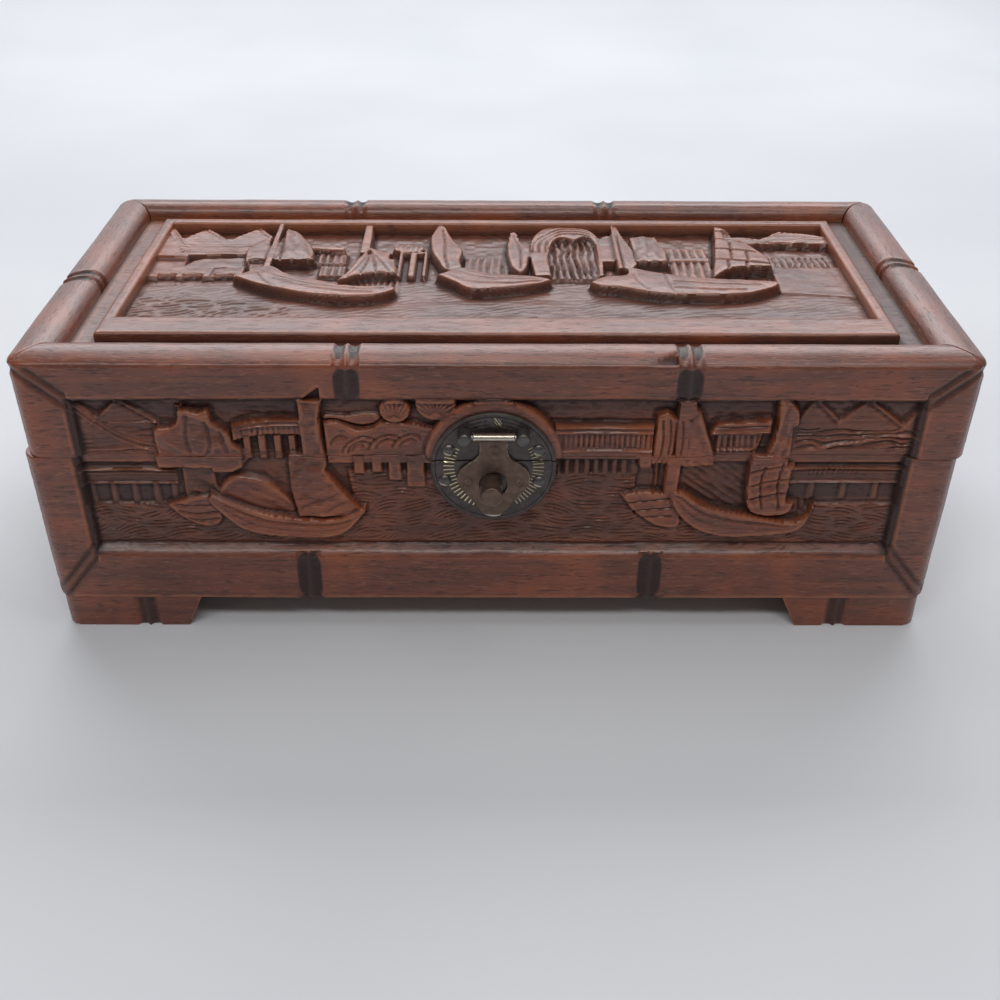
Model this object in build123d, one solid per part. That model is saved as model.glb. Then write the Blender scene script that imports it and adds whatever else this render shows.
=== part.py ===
from build123d import *
import os
from math import cos, radians, tan

# A carved camphor-wood box with mitred boards, bamboo-shaped rails, bracket feet, a hinged lid
# and a round brass lock whose hasp swings over a staple. Millimetres, +Z up. X runs left to
# right, Y from front to back, and the origin is under the middle of the whole box.

# Driving dimensions of the case
length = 300.0            # outside, left to right
depth = 141.6             # outside, front to back
height = 105.4            # floor to the crown of the lid's rails
seam_height = 69.6        # where the case was sawn into base and lid
foot_height = 12.8
board = 14.0              # thickness of the mitred side boards
corner_radius = 6.0       # on the four upright corners
lid_shift = 1.46          # the lid sits this far to the right of the base

# Rails, stiles and sunk panels
rail_round = 5.0          # half-round of the lid's top rails
top_rail = 14.9           # height of the rail along the top of the lid's sides
bottom_rail = 19.0        # height of the rail along the bottom of the base
stile = 17.0              # width of the upright frame at each corner
carving_depth = 4.5       # sunk panels of the front and the ends
back_sink = 2.0           # the back is only sunk a little
sink_slope = 18.0         # degrees that the walls of a sunk panel lean

# Bamboo nodes, a pair of scoops with a ridge between them
scoop_radius = 2.5
scoop_depth = 0.9
scoop_spacing = 4.4
front_nodes = (-46.2, 58.9)       # along the lid's front rail
back_nodes = (-55.5, 42.3)        # along the lid's back rail
end_nodes = (-9.0, 4.0)           # along the left and the right rail of the lid
base_nodes = (-62.1, 53.3)        # along the bottom rails of the front and the back
base_end_node = 0.0               # along the bottom rails of the ends

# Lid panel: tongue in the boards, flat band, raised border and sunk carving
band_drop = 5.4           # from the rails' crown to the flat band
panel_thickness = 8.0
tongue_length = 4.0
tongue_thickness = 4.0
band_end = 8.0            # width of the band at the two ends
band_side = 7.1           # width of the band along the front and the back
border_height = 3.4       # the raised border above the band
field_side = 4.0          # width of the border at the two ends
field_back = 4.6
field_front = 12.2
field_depth = 5.3

# Base panel
bottom_gap = 1.4          # underside of the base panel above the lower edge of the boards
bottom_thickness = 6.0
joint_clearance = 0.1     # round tongues, leaves and shanks

# Bracket feet
foot_leg = 49.0           # length of a foot along the front
foot_leg_side = 42.0      # length of a foot along the end
foot_thickness = 12.0
foot_inset = 0.8          # behind the faces of the base
foot_slant = 6.0          # the inner edge runs in this far towards the floor
foot_node = 30.0          # from the end of the box to the node on a foot's front

# Hinges
hinge_inset = 65.0        # from the end of the base to the middle of a hinge
hinge_length = 38.0
leaf_width = 9.5          # from the pin to the leaf's inner edge
leaf_thickness = 1.2
leaf_gap = 0.15           # between a leaf and the other leaf's knuckles
knuckle_radius = 2.2
pin_radius = 1.0
pin_clearance = 0.05
knuckle_gap = 0.2
pin_inset = 2.6           # pin's axis in front of the back face
relief = 0.3              # room for the knuckles in the wood
stop_angle = 107.0        # the bevelled back edges meet here, just past the lid's limit
screw_head = 1.9          # radius of a countersunk head
screw_radius = 1.0
screw_length = 8.0
screw_spread = 12.0
screw_sink = 0.1

# Lock
lock_x = -0.43            # middle of the plate, the posts and the hasp
plate_radius = 20.0
plate_below = 2.4         # the round plate's centre below the joint of lid and base
plate_thickness = 1.0
plate_gap = 0.3           # saw kerf between the two halves
rim_width = 1.3
rim_height = 0.4
boss_radius = 22.0
boss_above = 1.6          # the boss's centre above the plate's
post_offset = -0.7        # the staple stands a little left of the hasp's hole
post_radius = 3.5
post_below = 5.3          # the staple's axis below the plate's centre
post_reach = 8.5          # in front of the hasp
post_round = 0.6          # rounding of the staple's tip
padlock_hole = 1.6        # radius of the cross hole in the staple
knuckle_post_radius = 2.3
knuckle_post_spread = 9.15
knuckle_post_length = 5.0
knuckle_post_round = 0.9
rod_above = 12.5          # the rod's axis above the plate's centre
rod_radius = 0.8
rod_clearance = 0.05
rod_stand = 2.3           # from the plate's face to the rod's axis
rod_inset = 0.5           # the rod's ends inside the outer sides of its posts
barrel_radius = 1.45
barrel_gap = 0.35         # between the rolled barrel and each post
hasp_thickness = 1.0
hasp_clearance = 0.25     # between the plate and the hasp
hasp_half = 11.7          # half of the hasp's greatest width
neck_half = 4.5
neck_above = 10.0         # from the widest level up to the end of the neck
cusp_half = 7.6           # half width at the cusp of the ogee shoulder
cusp_above = 6.2
cove_in = 2.1             # the shoulder's hollow, in from the cusp and up from it
cove_up = 1.6
corner_half = 10.55       # half width where the rounded side corner starts and ends
corner_above = 3.6
tip_half = 3.0            # half width where the rounded tip starts
tip_web = 7.9             # metal below the hasp's hole
tip_rise = 1.0
hole_half = 4.4           # half width of the hasp's hole
hole_above = 0.5          # room above the staple in the hole
widest_above = 1.6        # the widest level lies this far above the staple's axis
swing_clearance = 0.4     # the hole's lower edge clears the staple by this as it swings
shank = 2.4               # square shanks of the posts and the staple
clinch = 10.0             # the shank's ends are bent over this far inside
clinch_thickness = 0.8
nail_radius = 2.3
nail_dome = 1.2
nail_shank = 0.8
nail_length = 6.0
nail_room = 1.0           # beyond the point of a nail
upper_nails = ((-14.1, 6.3), (14.2, 6.3))        # from the plate's centre
lower_nails = ((-15.6, -5.1), (14.6, -5.5))

# How far a cutter runs past the face it opens
overrun = 1.0

# Main forms of the carving, each its height as a share of the carving's depth and its outline.
# Across, -1 and 1 are the ends of the panel. Up, 0 is the bottom of the base's panel and 1 the top
# of the lid's, so a figure may cross the joint of lid and base.
front_figures = (
    # The water along the bottom of the front
    (0.24, ((-1.053, -0.201), (1.053, -0.201), (1.053, 0.319), (0.35, 0.319), (0.35, 0.514),
            (-0.35, 0.514), (-0.35, 0.319), (-1.053, 0.319))),
    # Landing stages
    (0.20, ((-1.053, 0.429), (-0.774, 0.429), (-0.774, 0.566), (-1.053, 0.566))),
    (0.20, ((0.717, 0.44), (1.053, 0.44), (1.053, 0.574), (0.717, 0.574))),
    # Mountains and shores
    (0.49, ((-1.053, 0.591), (-0.801, 0.591), (-0.801, 0.702), (-0.902, 0.796), (-0.962, 0.932),
            (-1.053, 1.077))),
    (0.44, ((-0.955, 0.719), (-0.797, 0.685), (-0.793, 0.835), (-0.883, 0.985), (-0.955, 0.83))),
    (0.47, ((0.707, 0.596), (1.053, 0.596), (1.053, 1.026), (1.008, 0.971), (0.967, 0.835),
            (0.878, 0.988), (0.816, 0.843), (0.752, 0.995), (0.711, 0.821))),
    # Leafy rock
    (0.76, ((-0.814, 0.555), (-0.692, 0.535), (-0.605, 0.569), (-0.595, 0.659), (-0.665, 0.855),
            (-0.684, 0.915), (-0.722, 0.928), (-0.759, 0.838), (-0.805, 0.804))),
    # Arched bridge
    (0.60, ((-0.632, 0.743), (-0.534, 0.78), (-0.436, 0.78), (-0.436, 0.876), (-0.526, 0.876),
            (-0.624, 0.831))),
    # Left junk: mast, sail, deck, small boat and hull
    (0.84, ((-0.46, 0.583), (-0.405, 0.583), (-0.412, 0.821), (-0.404, 1.06), (-0.461, 1.06))),
    (0.80, ((-0.498, 0.44), (-0.484, 0.232), (-0.353, 0.232), (-0.329, 0.303), (-0.409, 0.549),
            (-0.405, 0.661), (-0.496, 0.661))),
    (0.53, ((-0.684, 0.354), (-0.496, 0.245), (-0.526, 0.412), (-0.594, 0.503), (-0.647, 0.484))),
    (0.58, ((-0.807, 0.315), (-0.778, 0.242), (-0.737, 0.184), (-0.684, 0.177), (-0.669, 0.354),
            (-0.752, 0.361))),
    (0.89, ((-0.701, 0.371), (-0.669, 0.256), (-0.617, 0.157), (-0.526, 0.116), (-0.429, 0.109),
            (-0.368, 0.153), (-0.32, 0.307), (-0.421, 0.235), (-0.526, 0.256), (-0.602, 0.298),
            (-0.695, 0.399))),
    # Bank and round trees
    (0.56, ((-0.402, 0.596), (-0.135, 0.596), (-0.135, 0.804), (-0.195, 0.847), (-0.327, 0.807),
            (-0.402, 0.855))),
    (0.71, ((-0.272, 0.93), (-0.261, 0.874), (-0.235, 0.853), (-0.21, 0.874), (-0.198, 0.93),
            (-0.21, 0.986), (-0.235, 1.007), (-0.261, 0.986))),
    (0.71, ((-0.187, 0.964), (-0.173, 0.896), (-0.139, 0.869), (-0.09, 0.923), (-0.09, 1.06),
            (-0.173, 1.032))),
    (0.47, ((-0.258, 0.48), (-0.17, 0.446), (-0.17, 0.622), (-0.258, 0.622))),
    # Roofed wall
    (0.58, ((0.09, 0.6), (0.377, 0.6), (0.377, 0.836), (0.09, 0.836))),
    (0.40, ((0.09, 0.518), (0.346, 0.518), (0.346, 0.622), (0.09, 0.622))),
    # Right junk: posts, sails, roof, small boat and hull
    (0.71, ((0.379, 0.596), (0.429, 0.596), (0.43, 0.879), (0.406, 0.92), (0.383, 0.896))),
    (0.84, ((0.432, 0.596), (0.455, 0.596), (0.457, 0.879), (0.478, 0.915), (0.466, 1.06), (0.432, 1.06))),
    (0.64, ((0.453, 0.583), (0.529, 0.583), (0.481, 0.937), (0.453, 0.855))),
    (0.76, ((0.415, 0.365), (0.445, 0.378), (0.451, 0.651), (0.415, 0.651))),
    (0.69, ((0.511, 0.784), (0.654, 0.794), (0.654, 0.869), (0.526, 0.852))),
    (0.84, ((0.647, 0.591), (0.714, 0.591), (0.717, 0.787), (0.71, 0.94), (0.681, 1.06), (0.664, 1.06),
            (0.665, 0.821))),
    (0.84, ((0.618, 0.661), (0.616, 0.48), (0.632, 0.249), (0.717, 0.232), (0.74, 0.395), (0.719, 0.661))),
    (0.62, ((0.313, 0.385), (0.338, 0.293), (0.376, 0.221), (0.454, 0.184), (0.45, 0.317),
            (0.429, 0.382), (0.365, 0.409))),
    (0.89, ((0.429, 0.409), (0.447, 0.303), (0.477, 0.215), (0.526, 0.147), (0.602, 0.119),
            (0.722, 0.143), (0.767, 0.191), (0.787, 0.334), (0.737, 0.225), (0.647, 0.259),
            (0.534, 0.319), (0.462, 0.412))),
)
end_figures = (
    # The water along the bottom of an end
    (0.24, ((-1.115, -0.201), (1.115, -0.201), (1.115, 0.336), (-1.115, 0.336))),
    # Mountains and landing stages
    (0.47, ((-1.115, 0.583), (-0.502, 0.583), (-0.502, 0.685), (-0.576, 0.78), (-0.818, 0.978),
            (-0.985, 0.796), (-1.115, 0.889))),
    (0.47, ((0.465, 0.583), (1.115, 0.583), (1.115, 0.889), (0.948, 0.787), (0.725, 0.981),
            (0.502, 0.804))),
    (0.20, ((-1.115, 0.429), (-0.539, 0.429), (-0.539, 0.555), (-1.115, 0.555))),
    (0.20, ((0.576, 0.436), (1.115, 0.436), (1.115, 0.562), (0.576, 0.562))),
    # Sails and hull of the junk
    (0.82, ((-0.279, 0.446), (-0.227, 0.208), (-0.063, 0.208), (-0.056, 0.48), (-0.067, 0.821),
            (-0.086, 1.06), (-0.138, 1.06), (-0.223, 0.821))),
    (0.80, ((0.052, 0.446), (0.086, 0.208), (0.309, 0.225), (0.342, 0.446), (0.283, 0.753),
            (0.223, 0.928), (0.149, 0.964), (0.074, 0.821))),
    (0.89, ((-0.546, 0.354), (-0.446, 0.218), (-0.223, 0.133), (0.112, 0.123), (0.372, 0.181),
            (0.532, 0.375), (0.372, 0.29), (0.149, 0.245), (-0.149, 0.252), (-0.372, 0.296),
            (-0.532, 0.378))),
)
# On the lid, -1 and 1 are the left and right, and the front and back, of the field.
top_figures = (
    # The water before the boats
    (0.15, ((-1.135, -1.675), (1.123, -1.675), (1.123, -0.198), (0.478, -0.101), (-0.28, -0.101),
            (-0.716, -0.174), (-1.135, -0.174))),
    # Left mountains, broken ground and bridge
    (0.55, ((-1.135, 0.061), (-0.909, 0.061), (-0.909, 0.497), (-1.014, 1.127), (-1.135, 1.708))),
    (0.55, ((-0.958, 0.369), (-0.683, 0.398), (-0.683, 0.819), (-0.732, 1.008), (-0.804, 0.71),
            (-0.893, 0.993), (-0.958, 0.722))),
    (0.32, ((-1.01, -0.009), (-0.732, -0.009), (-0.732, 0.383), (-1.01, 0.383))),
    # First junk: sails, mast and hull
    (0.72, ((-0.732, 0.175), (-0.74, 0.417), (-0.719, 0.635), (-0.683, 0.659), (-0.672, 0.175))),
    (0.83, ((-0.656, 0.129), (-0.649, 0.855), (-0.627, 0.885), (-0.595, 0.783), (-0.546, 0.468),
            (-0.535, 0.211))),
    (0.87, ((-0.675, 0.001), (-0.673, 1.163), (-0.656, 1.163), (-0.65, 0.001))),
    (0.87, ((-0.742, -0.185), (-0.667, -0.335), (-0.587, -0.442), (-0.49, -0.536), (-0.361, -0.563),
            (-0.29, -0.461), (-0.296, -0.36), (-0.393, -0.36), (-0.49, -0.26), (-0.587, -0.127),
            (-0.651, 0.047), (-0.699, -0.055))),
    # Pavilion, second mast and fan sail
    (0.36, ((-0.538, 0.252), (-0.441, 0.252), (-0.441, 0.456), (-0.538, 0.456))),
    (0.36, ((-0.514, -0.028), (-0.438, -0.028), (-0.438, 0.189), (-0.514, 0.189))),
    (0.79, ((-0.405, 0.306), (-0.374, 0.306), (-0.38, 1.177), (-0.405, 1.177))),
    (0.87, ((-0.446, -0.251), (-0.398, -0.144), (-0.345, -0.089), (-0.287, -0.084), (-0.291, 0.098),
            (-0.304, 0.316), (-0.377, 0.456), (-0.409, 0.195))),
    # Shrine
    (0.55, ((-0.288, -0.067), (-0.206, -0.067), (-0.206, 0.456), (-0.224, 0.577), (-0.264, 0.601),
            (-0.301, 0.553))),
    # Middle junk and its crescent sails
    (0.30, ((-0.095, -0.004), (0.039, -0.004), (0.039, 0.407), (-0.095, 0.407))),
    (0.85, ((-0.148, -0.02), (-0.103, 0.004), (-0.107, 0.198), (-0.103, 0.426), (-0.133, 0.682),
            (-0.159, 0.963), (-0.182, 1.021), (-0.199, 0.755), (-0.195, 0.44))),
    (0.81, ((0.067, -0.066), (0.085, 0.07), (0.094, 0.278), (0.111, 0.457), (0.075, 0.593),
            (0.059, 0.835), (0.038, 0.83), (0.029, 0.52), (0.032, 0.278), (0.042, 0.06))),
    (0.87, ((-0.17, -0.127), (-0.119, -0.287), (-0.07, -0.42), (0.034, -0.377), (0.104, -0.323),
            (0.151, -0.224), (0.083, -0.144), (-0.006, -0.12), (-0.103, 0.018))),
    # Grotto
    (0.40, ((0.147, -0.106), (0.288, -0.106), (0.288, 0.504), (0.215, 0.802), (0.152, 0.504))),
    (0.68, ((0.115, -0.101), (0.148, -0.101), (0.153, 0.504), (0.172, 0.722), (0.215, 0.8),
            (0.263, 0.722), (0.287, 0.504), (0.287, -0.101), (0.305, -0.101), (0.311, 0.407),
            (0.268, 0.904), (0.212, 0.998), (0.155, 0.95), (0.108, 0.407))),
    # Third junk: flap, sails and hull
    (0.62, ((0.305, 0.22), (0.349, 0.22), (0.349, 0.825), (0.303, 0.729))),
    (0.43, ((0.495, -0.067), (0.623, -0.067), (0.623, 0.577), (0.495, 0.577))),
    (0.77, ((0.402, 0.203), (0.499, 0.203), (0.502, 0.43), (0.48, 0.74), (0.446, 0.789), (0.401, 0.745))),
    (0.87, ((0.347, 0.001), (0.393, 0.001), (0.405, 0.098), (0.4, 0.437), (0.365, 1.163), (0.349, 1.163))),
    (0.87, ((0.609, -0.202), (0.672, 0.025), (0.792, 0.064), (0.795, 0.253), (0.72, 0.824),
            (0.692, 0.95), (0.669, 0.974), (0.633, 0.195))),
    (0.87, ((0.263, -0.277), (0.341, -0.372), (0.397, -0.444), (0.478, -0.507), (0.647, -0.512),
            (0.744, -0.418), (0.781, -0.256), (0.599, -0.188), (0.438, -0.047), (0.376, 0.018),
            (0.365, -0.12), (0.301, -0.171))),
    # Right shore and far mountains
    (0.25, ((0.797, -0.343), (1.123, -0.44), (1.123, 0.214), (0.797, 0.214))),
    (0.25, ((0.792, 0.223), (0.984, 0.223), (0.984, 0.504), (0.792, 0.504))),
    (0.57, ((0.688, 0.659), (1.123, 0.659), (1.123, 0.819), (0.946, 0.901), (0.865, 0.945),
            (0.801, 0.771), (0.688, 0.887))),
)

# Places worked out from the sizes above
lock_stack = plate_thickness + hasp_clearance + hasp_thickness + post_reach
front = -(depth - lock_stack) / 2
back = front + depth
middle = (front + back) / 2
base_x = -lid_shift / 2
lid_x = lid_shift / 2
plate_face = front - plate_thickness
pin_y = back - pin_inset
rod_y = plate_face - rod_stand
hasp_back = plate_face - hasp_clearance
post_x = lock_x + post_offset
rail_low = height - top_rail
panel_low = foot_height + bottom_rail
band_height = height - band_drop
border_top = band_height + border_height
border_length = length - 2 * board - 2 * band_end
border_depth = depth - 2 * board - 2 * band_side
hinge_spread = length / 2 - hinge_inset
plate_height = seam_height - plate_below
boss_height = plate_height + boss_above
rod_height = plate_height + rod_above
post_height = plate_height - post_below
rod_to_staple = rod_height - post_height
field_half_x = border_length / 2 - field_side
field_half_y = (border_depth - field_front - field_back) / 2
field_middle = middle + (field_front - field_back) / 2
bottom_low = foot_height + bottom_gap
turns = {"front": 0, "right": 90, "back": 180, "left": -90}


def block(x0, x1, y0, y1, z0, z1):
    """A box between two corners."""
    return Pos((x0 + x1) / 2, (y0 + y1) / 2, (z0 + z1) / 2) * Box(x1 - x0, y1 - y0, z1 - z0)


def rod_along_x(x0, x1, y, z, radius):
    return Pos((x0 + x1) / 2, y, z) * Rot(0, 90, 0) * Cylinder(radius, x1 - x0)


def rod_along_y(x, y0, y1, z, radius):
    return Pos(x, (y0 + y1) / 2, z) * Rot(90, 0, 0) * Cylinder(radius, y1 - y0)


def place_on(side, centre_x, along=0.0):
    """The place on an outer face where local -Y points out of the box and local X runs along it."""
    spot = {
        "front": (centre_x + along, front),
        "right": (centre_x + length / 2, middle + along),
        "back": (centre_x + along, back),
        "left": (centre_x - length / 2, middle + along),
    }[side]
    return Pos(*spot, 0) * Rot(0, 0, turns[side])


def mitre_wedge(side, centre_x):
    """The upright wedge of the case that belongs to one board, bounded by its two mitres."""
    run, across = (length, depth) if side in ("front", "back") else (depth, length)
    half, deep = run / 2, board
    outline = Polyline((-half, 0), (half, 0), (half - deep, deep), (-half + deep, deep), close=True)
    return place_on(side, centre_x) * extrude(make_face(outline), height)


def hollow_case(centre_x, z0, z1):
    """The four walls of the base or the lid as one rounded ring, before they are parted."""
    outside = Pos(centre_x, middle, z0) * extrude(RectangleRounded(length, depth, corner_radius), z1 - z0)
    inside = block(centre_x - length / 2 + board, centre_x + length / 2 - board,
                   front + board, back - board, z0, z1)
    return outside - inside


def sunk_panel(side, centre_x, z0, z1):
    """The cutter of a sunk panel, with walls that lean outwards."""
    run = length if side in ("front", "back") else depth
    sink = back_sink if side == "back" else carving_depth
    face = Plane(origin=(0, 0, (z0 + z1) / 2), x_dir=(1, 0, 0), z_dir=(0, 1, 0))
    outline = face * Rectangle(run - 2 * stile, z1 - z0)
    return place_on(side, centre_x) * extrude(outline, sink, taper=sink_slope)


def figures_on_wall(side, centre_x):
    """The main figures of a wall's carving, as flat-topped prisms on the ground of its sunk panel."""
    if side == "back":
        return []
    outlines, run, at_x = (front_figures, length, 0) if side == "front" else (end_figures, depth, centre_x)
    across, up = run / 2 - stile, rail_low - panel_low
    solids = []
    for share, outline in outlines:
        corners = [(x * across, panel_low + z * up) for x, z in outline]
        face = Plane.XZ * make_face(Polyline(*corners, close=True))
        prism = Pos(0, carving_depth, 0) * extrude(face, share * carving_depth)
        solids.append(place_on(side, at_x) * prism)
    return solids


def figures_on_top():
    """The main figures of the lid's carving, standing on the ground of the sunk field."""
    ground = border_top - field_depth
    solids = []
    for share, outline in top_figures:
        corners = [(lid_x + x * field_half_x, field_middle + y * field_half_y) for x, y in outline]
        face = make_face(Polyline(*corners, close=True))
        solids.append(Pos(0, 0, ground) * extrude(face, share * field_depth))
    return solids


def scoop_over_rail():
    """One scoop of a bamboo node, run up the face and over the half-round top of a lid rail."""
    lift = scoop_radius - scoop_depth
    turn = rail_round + lift
    low, high = rail_low - overrun, height - rail_round
    diagonal = turn * cos(radians(45))
    path = (
        Line((0, -lift, low), (0, -lift, high))
        + ThreePointArc((0, -lift, high), (0, rail_round - diagonal, high + diagonal),
                        (0, rail_round, height + lift))
        + Line((0, rail_round, height + lift), (0, board - rail_round, height + lift))
        + ThreePointArc((0, board - rail_round, height + lift),
                        (0, board - rail_round + diagonal, high + diagonal), (0, board + lift, high))
    )
    section = Plane(origin=(0, -lift, low), z_dir=(0, 0, 1)) * Circle(scoop_radius)
    return sweep(section, path=path)


def scoop_up_face(z0, z1):
    """One scoop of a bamboo node on an upright face."""
    return Pos(0, scoop_depth - scoop_radius, (z0 + z1) / 2) * Cylinder(scoop_radius, z1 - z0)


def node_at(side, centre_x, along, scoop):
    """A bamboo node: two scoops side by side, which leave a ridge between them."""
    return [place_on(side, centre_x, along) * Pos(step * scoop_spacing / 2, 0, 0) * scoop
            for step in (-1, 1)]


def bevel(direction):
    """The cutter of the bevelled back edge beside the pin: -1 for the base, 1 for the lid."""
    out = pin_inset + overrun
    rise = out * tan(radians(stop_angle / 2)) * direction
    outline = Polyline((pin_y, seam_height), (pin_y + out, seam_height),
                       (pin_y + out, seam_height + rise), close=True)
    flat = Plane(origin=(-length, 0, 0), x_dir=(0, 1, 0), z_dir=(1, 0, 0)) * make_face(outline)
    return extrude(flat, 2 * length)


def hinge_centres():
    return (base_x - hinge_spread, base_x + hinge_spread)


def hinge_seats(direction):
    """The shallow seats of the leaves and the hollows of the knuckles."""
    half = hinge_length / 2 + joint_clearance
    seats = []
    for x in hinge_centres():
        edge = seam_height + direction * leaf_thickness
        seats.append(block(x - half, x + half, pin_y - leaf_width - joint_clearance, pin_y,
                           min(seam_height, edge), max(seam_height, edge)))
        seats.append(rod_along_x(x - half, x + half, pin_y, seam_height, knuckle_radius + relief))
    return seats


def screw(direction, grow=0.0):
    """A countersunk screw with its head at the seam, or the hole for it when it grows."""
    head = screw_head + grow
    stem = screw_radius + grow
    top = 0 if grow else screw_sink
    outline = Polyline((0, top), (head, top), (stem, screw_sink + screw_head - screw_radius),
                       (stem, screw_length + grow), (0, screw_length + grow), close=True)
    body = revolve(Plane.XZ * make_face(outline), Axis.Z)
    return body if direction > 0 else Rot(180, 0, 0) * body


def screw_spots():
    y = pin_y - leaf_width / 2 - knuckle_radius / 2
    return [(x + step * screw_spread, y) for x in hinge_centres() for step in (-1, 1)]


def screws(direction, grow=0.0):
    return [Pos(x, y, seam_height) * screw(direction, grow) for x, y in screw_spots()]


def tongue_groove(centre_x, z0, z1):
    """The groove in the boards that holds the tongue of a panel."""
    reach = tongue_length + joint_clearance
    return block(centre_x - length / 2 + board - reach, centre_x + length / 2 - board + reach,
                 front + board - reach, back - board + reach, z0 - joint_clearance, z1 + joint_clearance)


def panel_tongue(centre_x, z0, z1):
    return block(centre_x - length / 2 + board - tongue_length, centre_x + length / 2 - board + tongue_length,
                 front + board - tongue_length, back - board + tongue_length, z0, z1)


def lock_boss(radius, z):
    """The round boss left standing in the sunk front to carry the lock plate."""
    return rod_along_y(lock_x, front, front + carving_depth, z, radius)


def shank_holes(spots):
    """Square holes right through the front board for the clinched shanks."""
    half = shank / 2 + joint_clearance
    near, far = front - overrun, front + board + overrun
    return [block(x - half, x + half, near, far, z - half, z + half) for x, z in spots]


def nail_holes(spots):
    near, far = front - overrun, front + nail_length + nail_room
    return [rod_along_y(lock_x + x, near, far, plate_height + z, nail_shank + joint_clearance)
            for x, z in spots]


def knuckle_post_spots():
    return [(lock_x + step * knuckle_post_spread, rod_height) for step in (-1, 1)]


def lid_case():
    """The lid's walls: half-round rails on top, sunk panels, bamboo nodes and seats for its fittings."""
    case = hollow_case(lid_x, seam_height, height)
    case = fillet(case.edges().group_by(Axis.Z)[-1], rail_round)
    below = seam_height - top_rail
    for side in turns:
        cutter = sunk_panel(side, lid_x, 2 * below - rail_low, rail_low)
        left_standing = figures_on_wall(side, lid_x)
        if side == "front":
            left_standing.append(lock_boss(boss_radius, boss_height))
        case -= cutter - left_standing
    over = scoop_over_rail()
    cuts = []
    for x in front_nodes:
        cuts += node_at("front", lid_x, x, over)
    for x in back_nodes:
        cuts += node_at("back", lid_x, x, over)
    cuts += node_at("left", lid_x, end_nodes[0], over)
    cuts += node_at("right", lid_x, end_nodes[1], over)
    cuts.append(tongue_groove(lid_x, *lid_tongue()))
    cuts.append(bevel(1))
    cuts += hinge_seats(1)
    cuts += screws(1, joint_clearance)
    cuts += shank_holes(knuckle_post_spots())
    cuts += nail_holes(upper_nails)
    return case - cuts


def base_case():
    """The base's walls, made like the lid's, with its rail along the bottom."""
    case = hollow_case(base_x, foot_height, seam_height)
    for side in turns:
        cutter = sunk_panel(side, base_x, panel_low, 2 * seam_height - panel_low)
        left_standing = figures_on_wall(side, base_x)
        if side == "front":
            left_standing.append(lock_boss(plate_radius, plate_height))
        case -= cutter - left_standing
    scoop = scoop_up_face(foot_height - overrun, panel_low + overrun)
    cuts = []
    for x in base_nodes:
        cuts += node_at("front", base_x, x, scoop)
        cuts += node_at("back", base_x, x, scoop)
    cuts += node_at("left", base_x, base_end_node, scoop)
    cuts += node_at("right", base_x, base_end_node, scoop)
    cuts.append(tongue_groove(base_x, *base_tongue()))
    cuts.append(bevel(-1))
    cuts += hinge_seats(-1)
    cuts += screws(-1, joint_clearance)
    cuts += shank_holes([(post_x, post_height)])
    cuts += nail_holes(lower_nails)
    return case - cuts


def boards(case, centre_x):
    """The ring parted along its four mitres."""
    return {side: case & mitre_wedge(side, centre_x) for side in turns}


def lid_tongue():
    low = band_height - panel_thickness / 2 - tongue_thickness / 2
    return low, low + tongue_thickness


def base_tongue():
    low = bottom_low + bottom_thickness / 2 - tongue_thickness / 2
    return low, low + tongue_thickness


def lid_panel():
    """The top: a tongued panel with a flat band, a raised border and the sunk field inside it."""
    inner_x, inner_y = length / 2 - board, depth / 2 - board
    panel = block(lid_x - inner_x, lid_x + inner_x, middle - inner_y, middle + inner_y,
                  band_height - panel_thickness, band_height)
    panel += panel_tongue(lid_x, *lid_tongue())
    panel += block(lid_x - border_length / 2, lid_x + border_length / 2,
                   middle - border_depth / 2, middle + border_depth / 2, band_height, border_top)
    field = block(lid_x - field_half_x, lid_x + field_half_x, field_middle - field_half_y,
                  field_middle + field_half_y, border_top - field_depth, border_top)
    return panel - (field - figures_on_top())


def base_bottom():
    """The bottom: a plain tongued panel."""
    inner_x, inner_y = length / 2 - board, depth / 2 - board
    panel = block(base_x - inner_x, base_x + inner_x, middle - inner_y, middle + inner_y,
                  bottom_low, bottom_low + bottom_thickness)
    return panel + panel_tongue(base_x, *base_tongue())


def foot_leg_solid(leg, slant):
    """One leg of a bracket foot along +X from its mitred end, with a slanting inner edge."""
    face = Polyline((0, 0), (leg - slant, 0), (leg, foot_height), (0, foot_height), close=True)
    body = extrude(Plane.XZ * make_face(face), -foot_thickness)
    plan = Polyline((0, 0), (leg, 0), (leg, foot_thickness), (foot_thickness, foot_thickness), close=True)
    return body & extrude(make_face(plan), foot_height)


def foot(left, at_front):
    """A bracket foot: two mitred legs under a corner, rounded like the corner, with a bamboo node."""
    front_leg = foot_leg_solid(foot_leg, foot_slant)
    side_leg = mirror(foot_leg_solid(foot_leg_side, foot_slant), Plane.XZ)
    side_leg = Rot(0, 0, 90) * side_leg
    corner = front_leg + side_leg
    corner = fillet(corner.edges().filter_by(Axis.Z).group_by(Axis.X)[0].group_by(Axis.Y)[0],
                    corner_radius - foot_inset)
    lift = scoop_radius - scoop_depth
    for step in (-1, 1):
        scoop = Pos(foot_node - foot_inset + step * scoop_spacing / 2, -lift, foot_height / 2)
        corner -= scoop * Cylinder(scoop_radius, foot_height)
    if not left:
        corner = mirror(corner, Plane.YZ)
    if not at_front:
        corner = mirror(corner, Plane.XZ)
    x = base_x + (-1 if left else 1) * (length / 2 - foot_inset)
    y = front + foot_inset if at_front else back - foot_inset
    return Pos(x, y, 0) * corner


def knuckle_spans(x):
    """Where the three knuckles of a hinge run along the pin: base, lid, base."""
    third = (hinge_length - 2 * knuckle_gap) / 3
    left = x - hinge_length / 2
    return [(left + index * (third + knuckle_gap), left + index * (third + knuckle_gap) + third)
            for index in range(3)]


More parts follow.
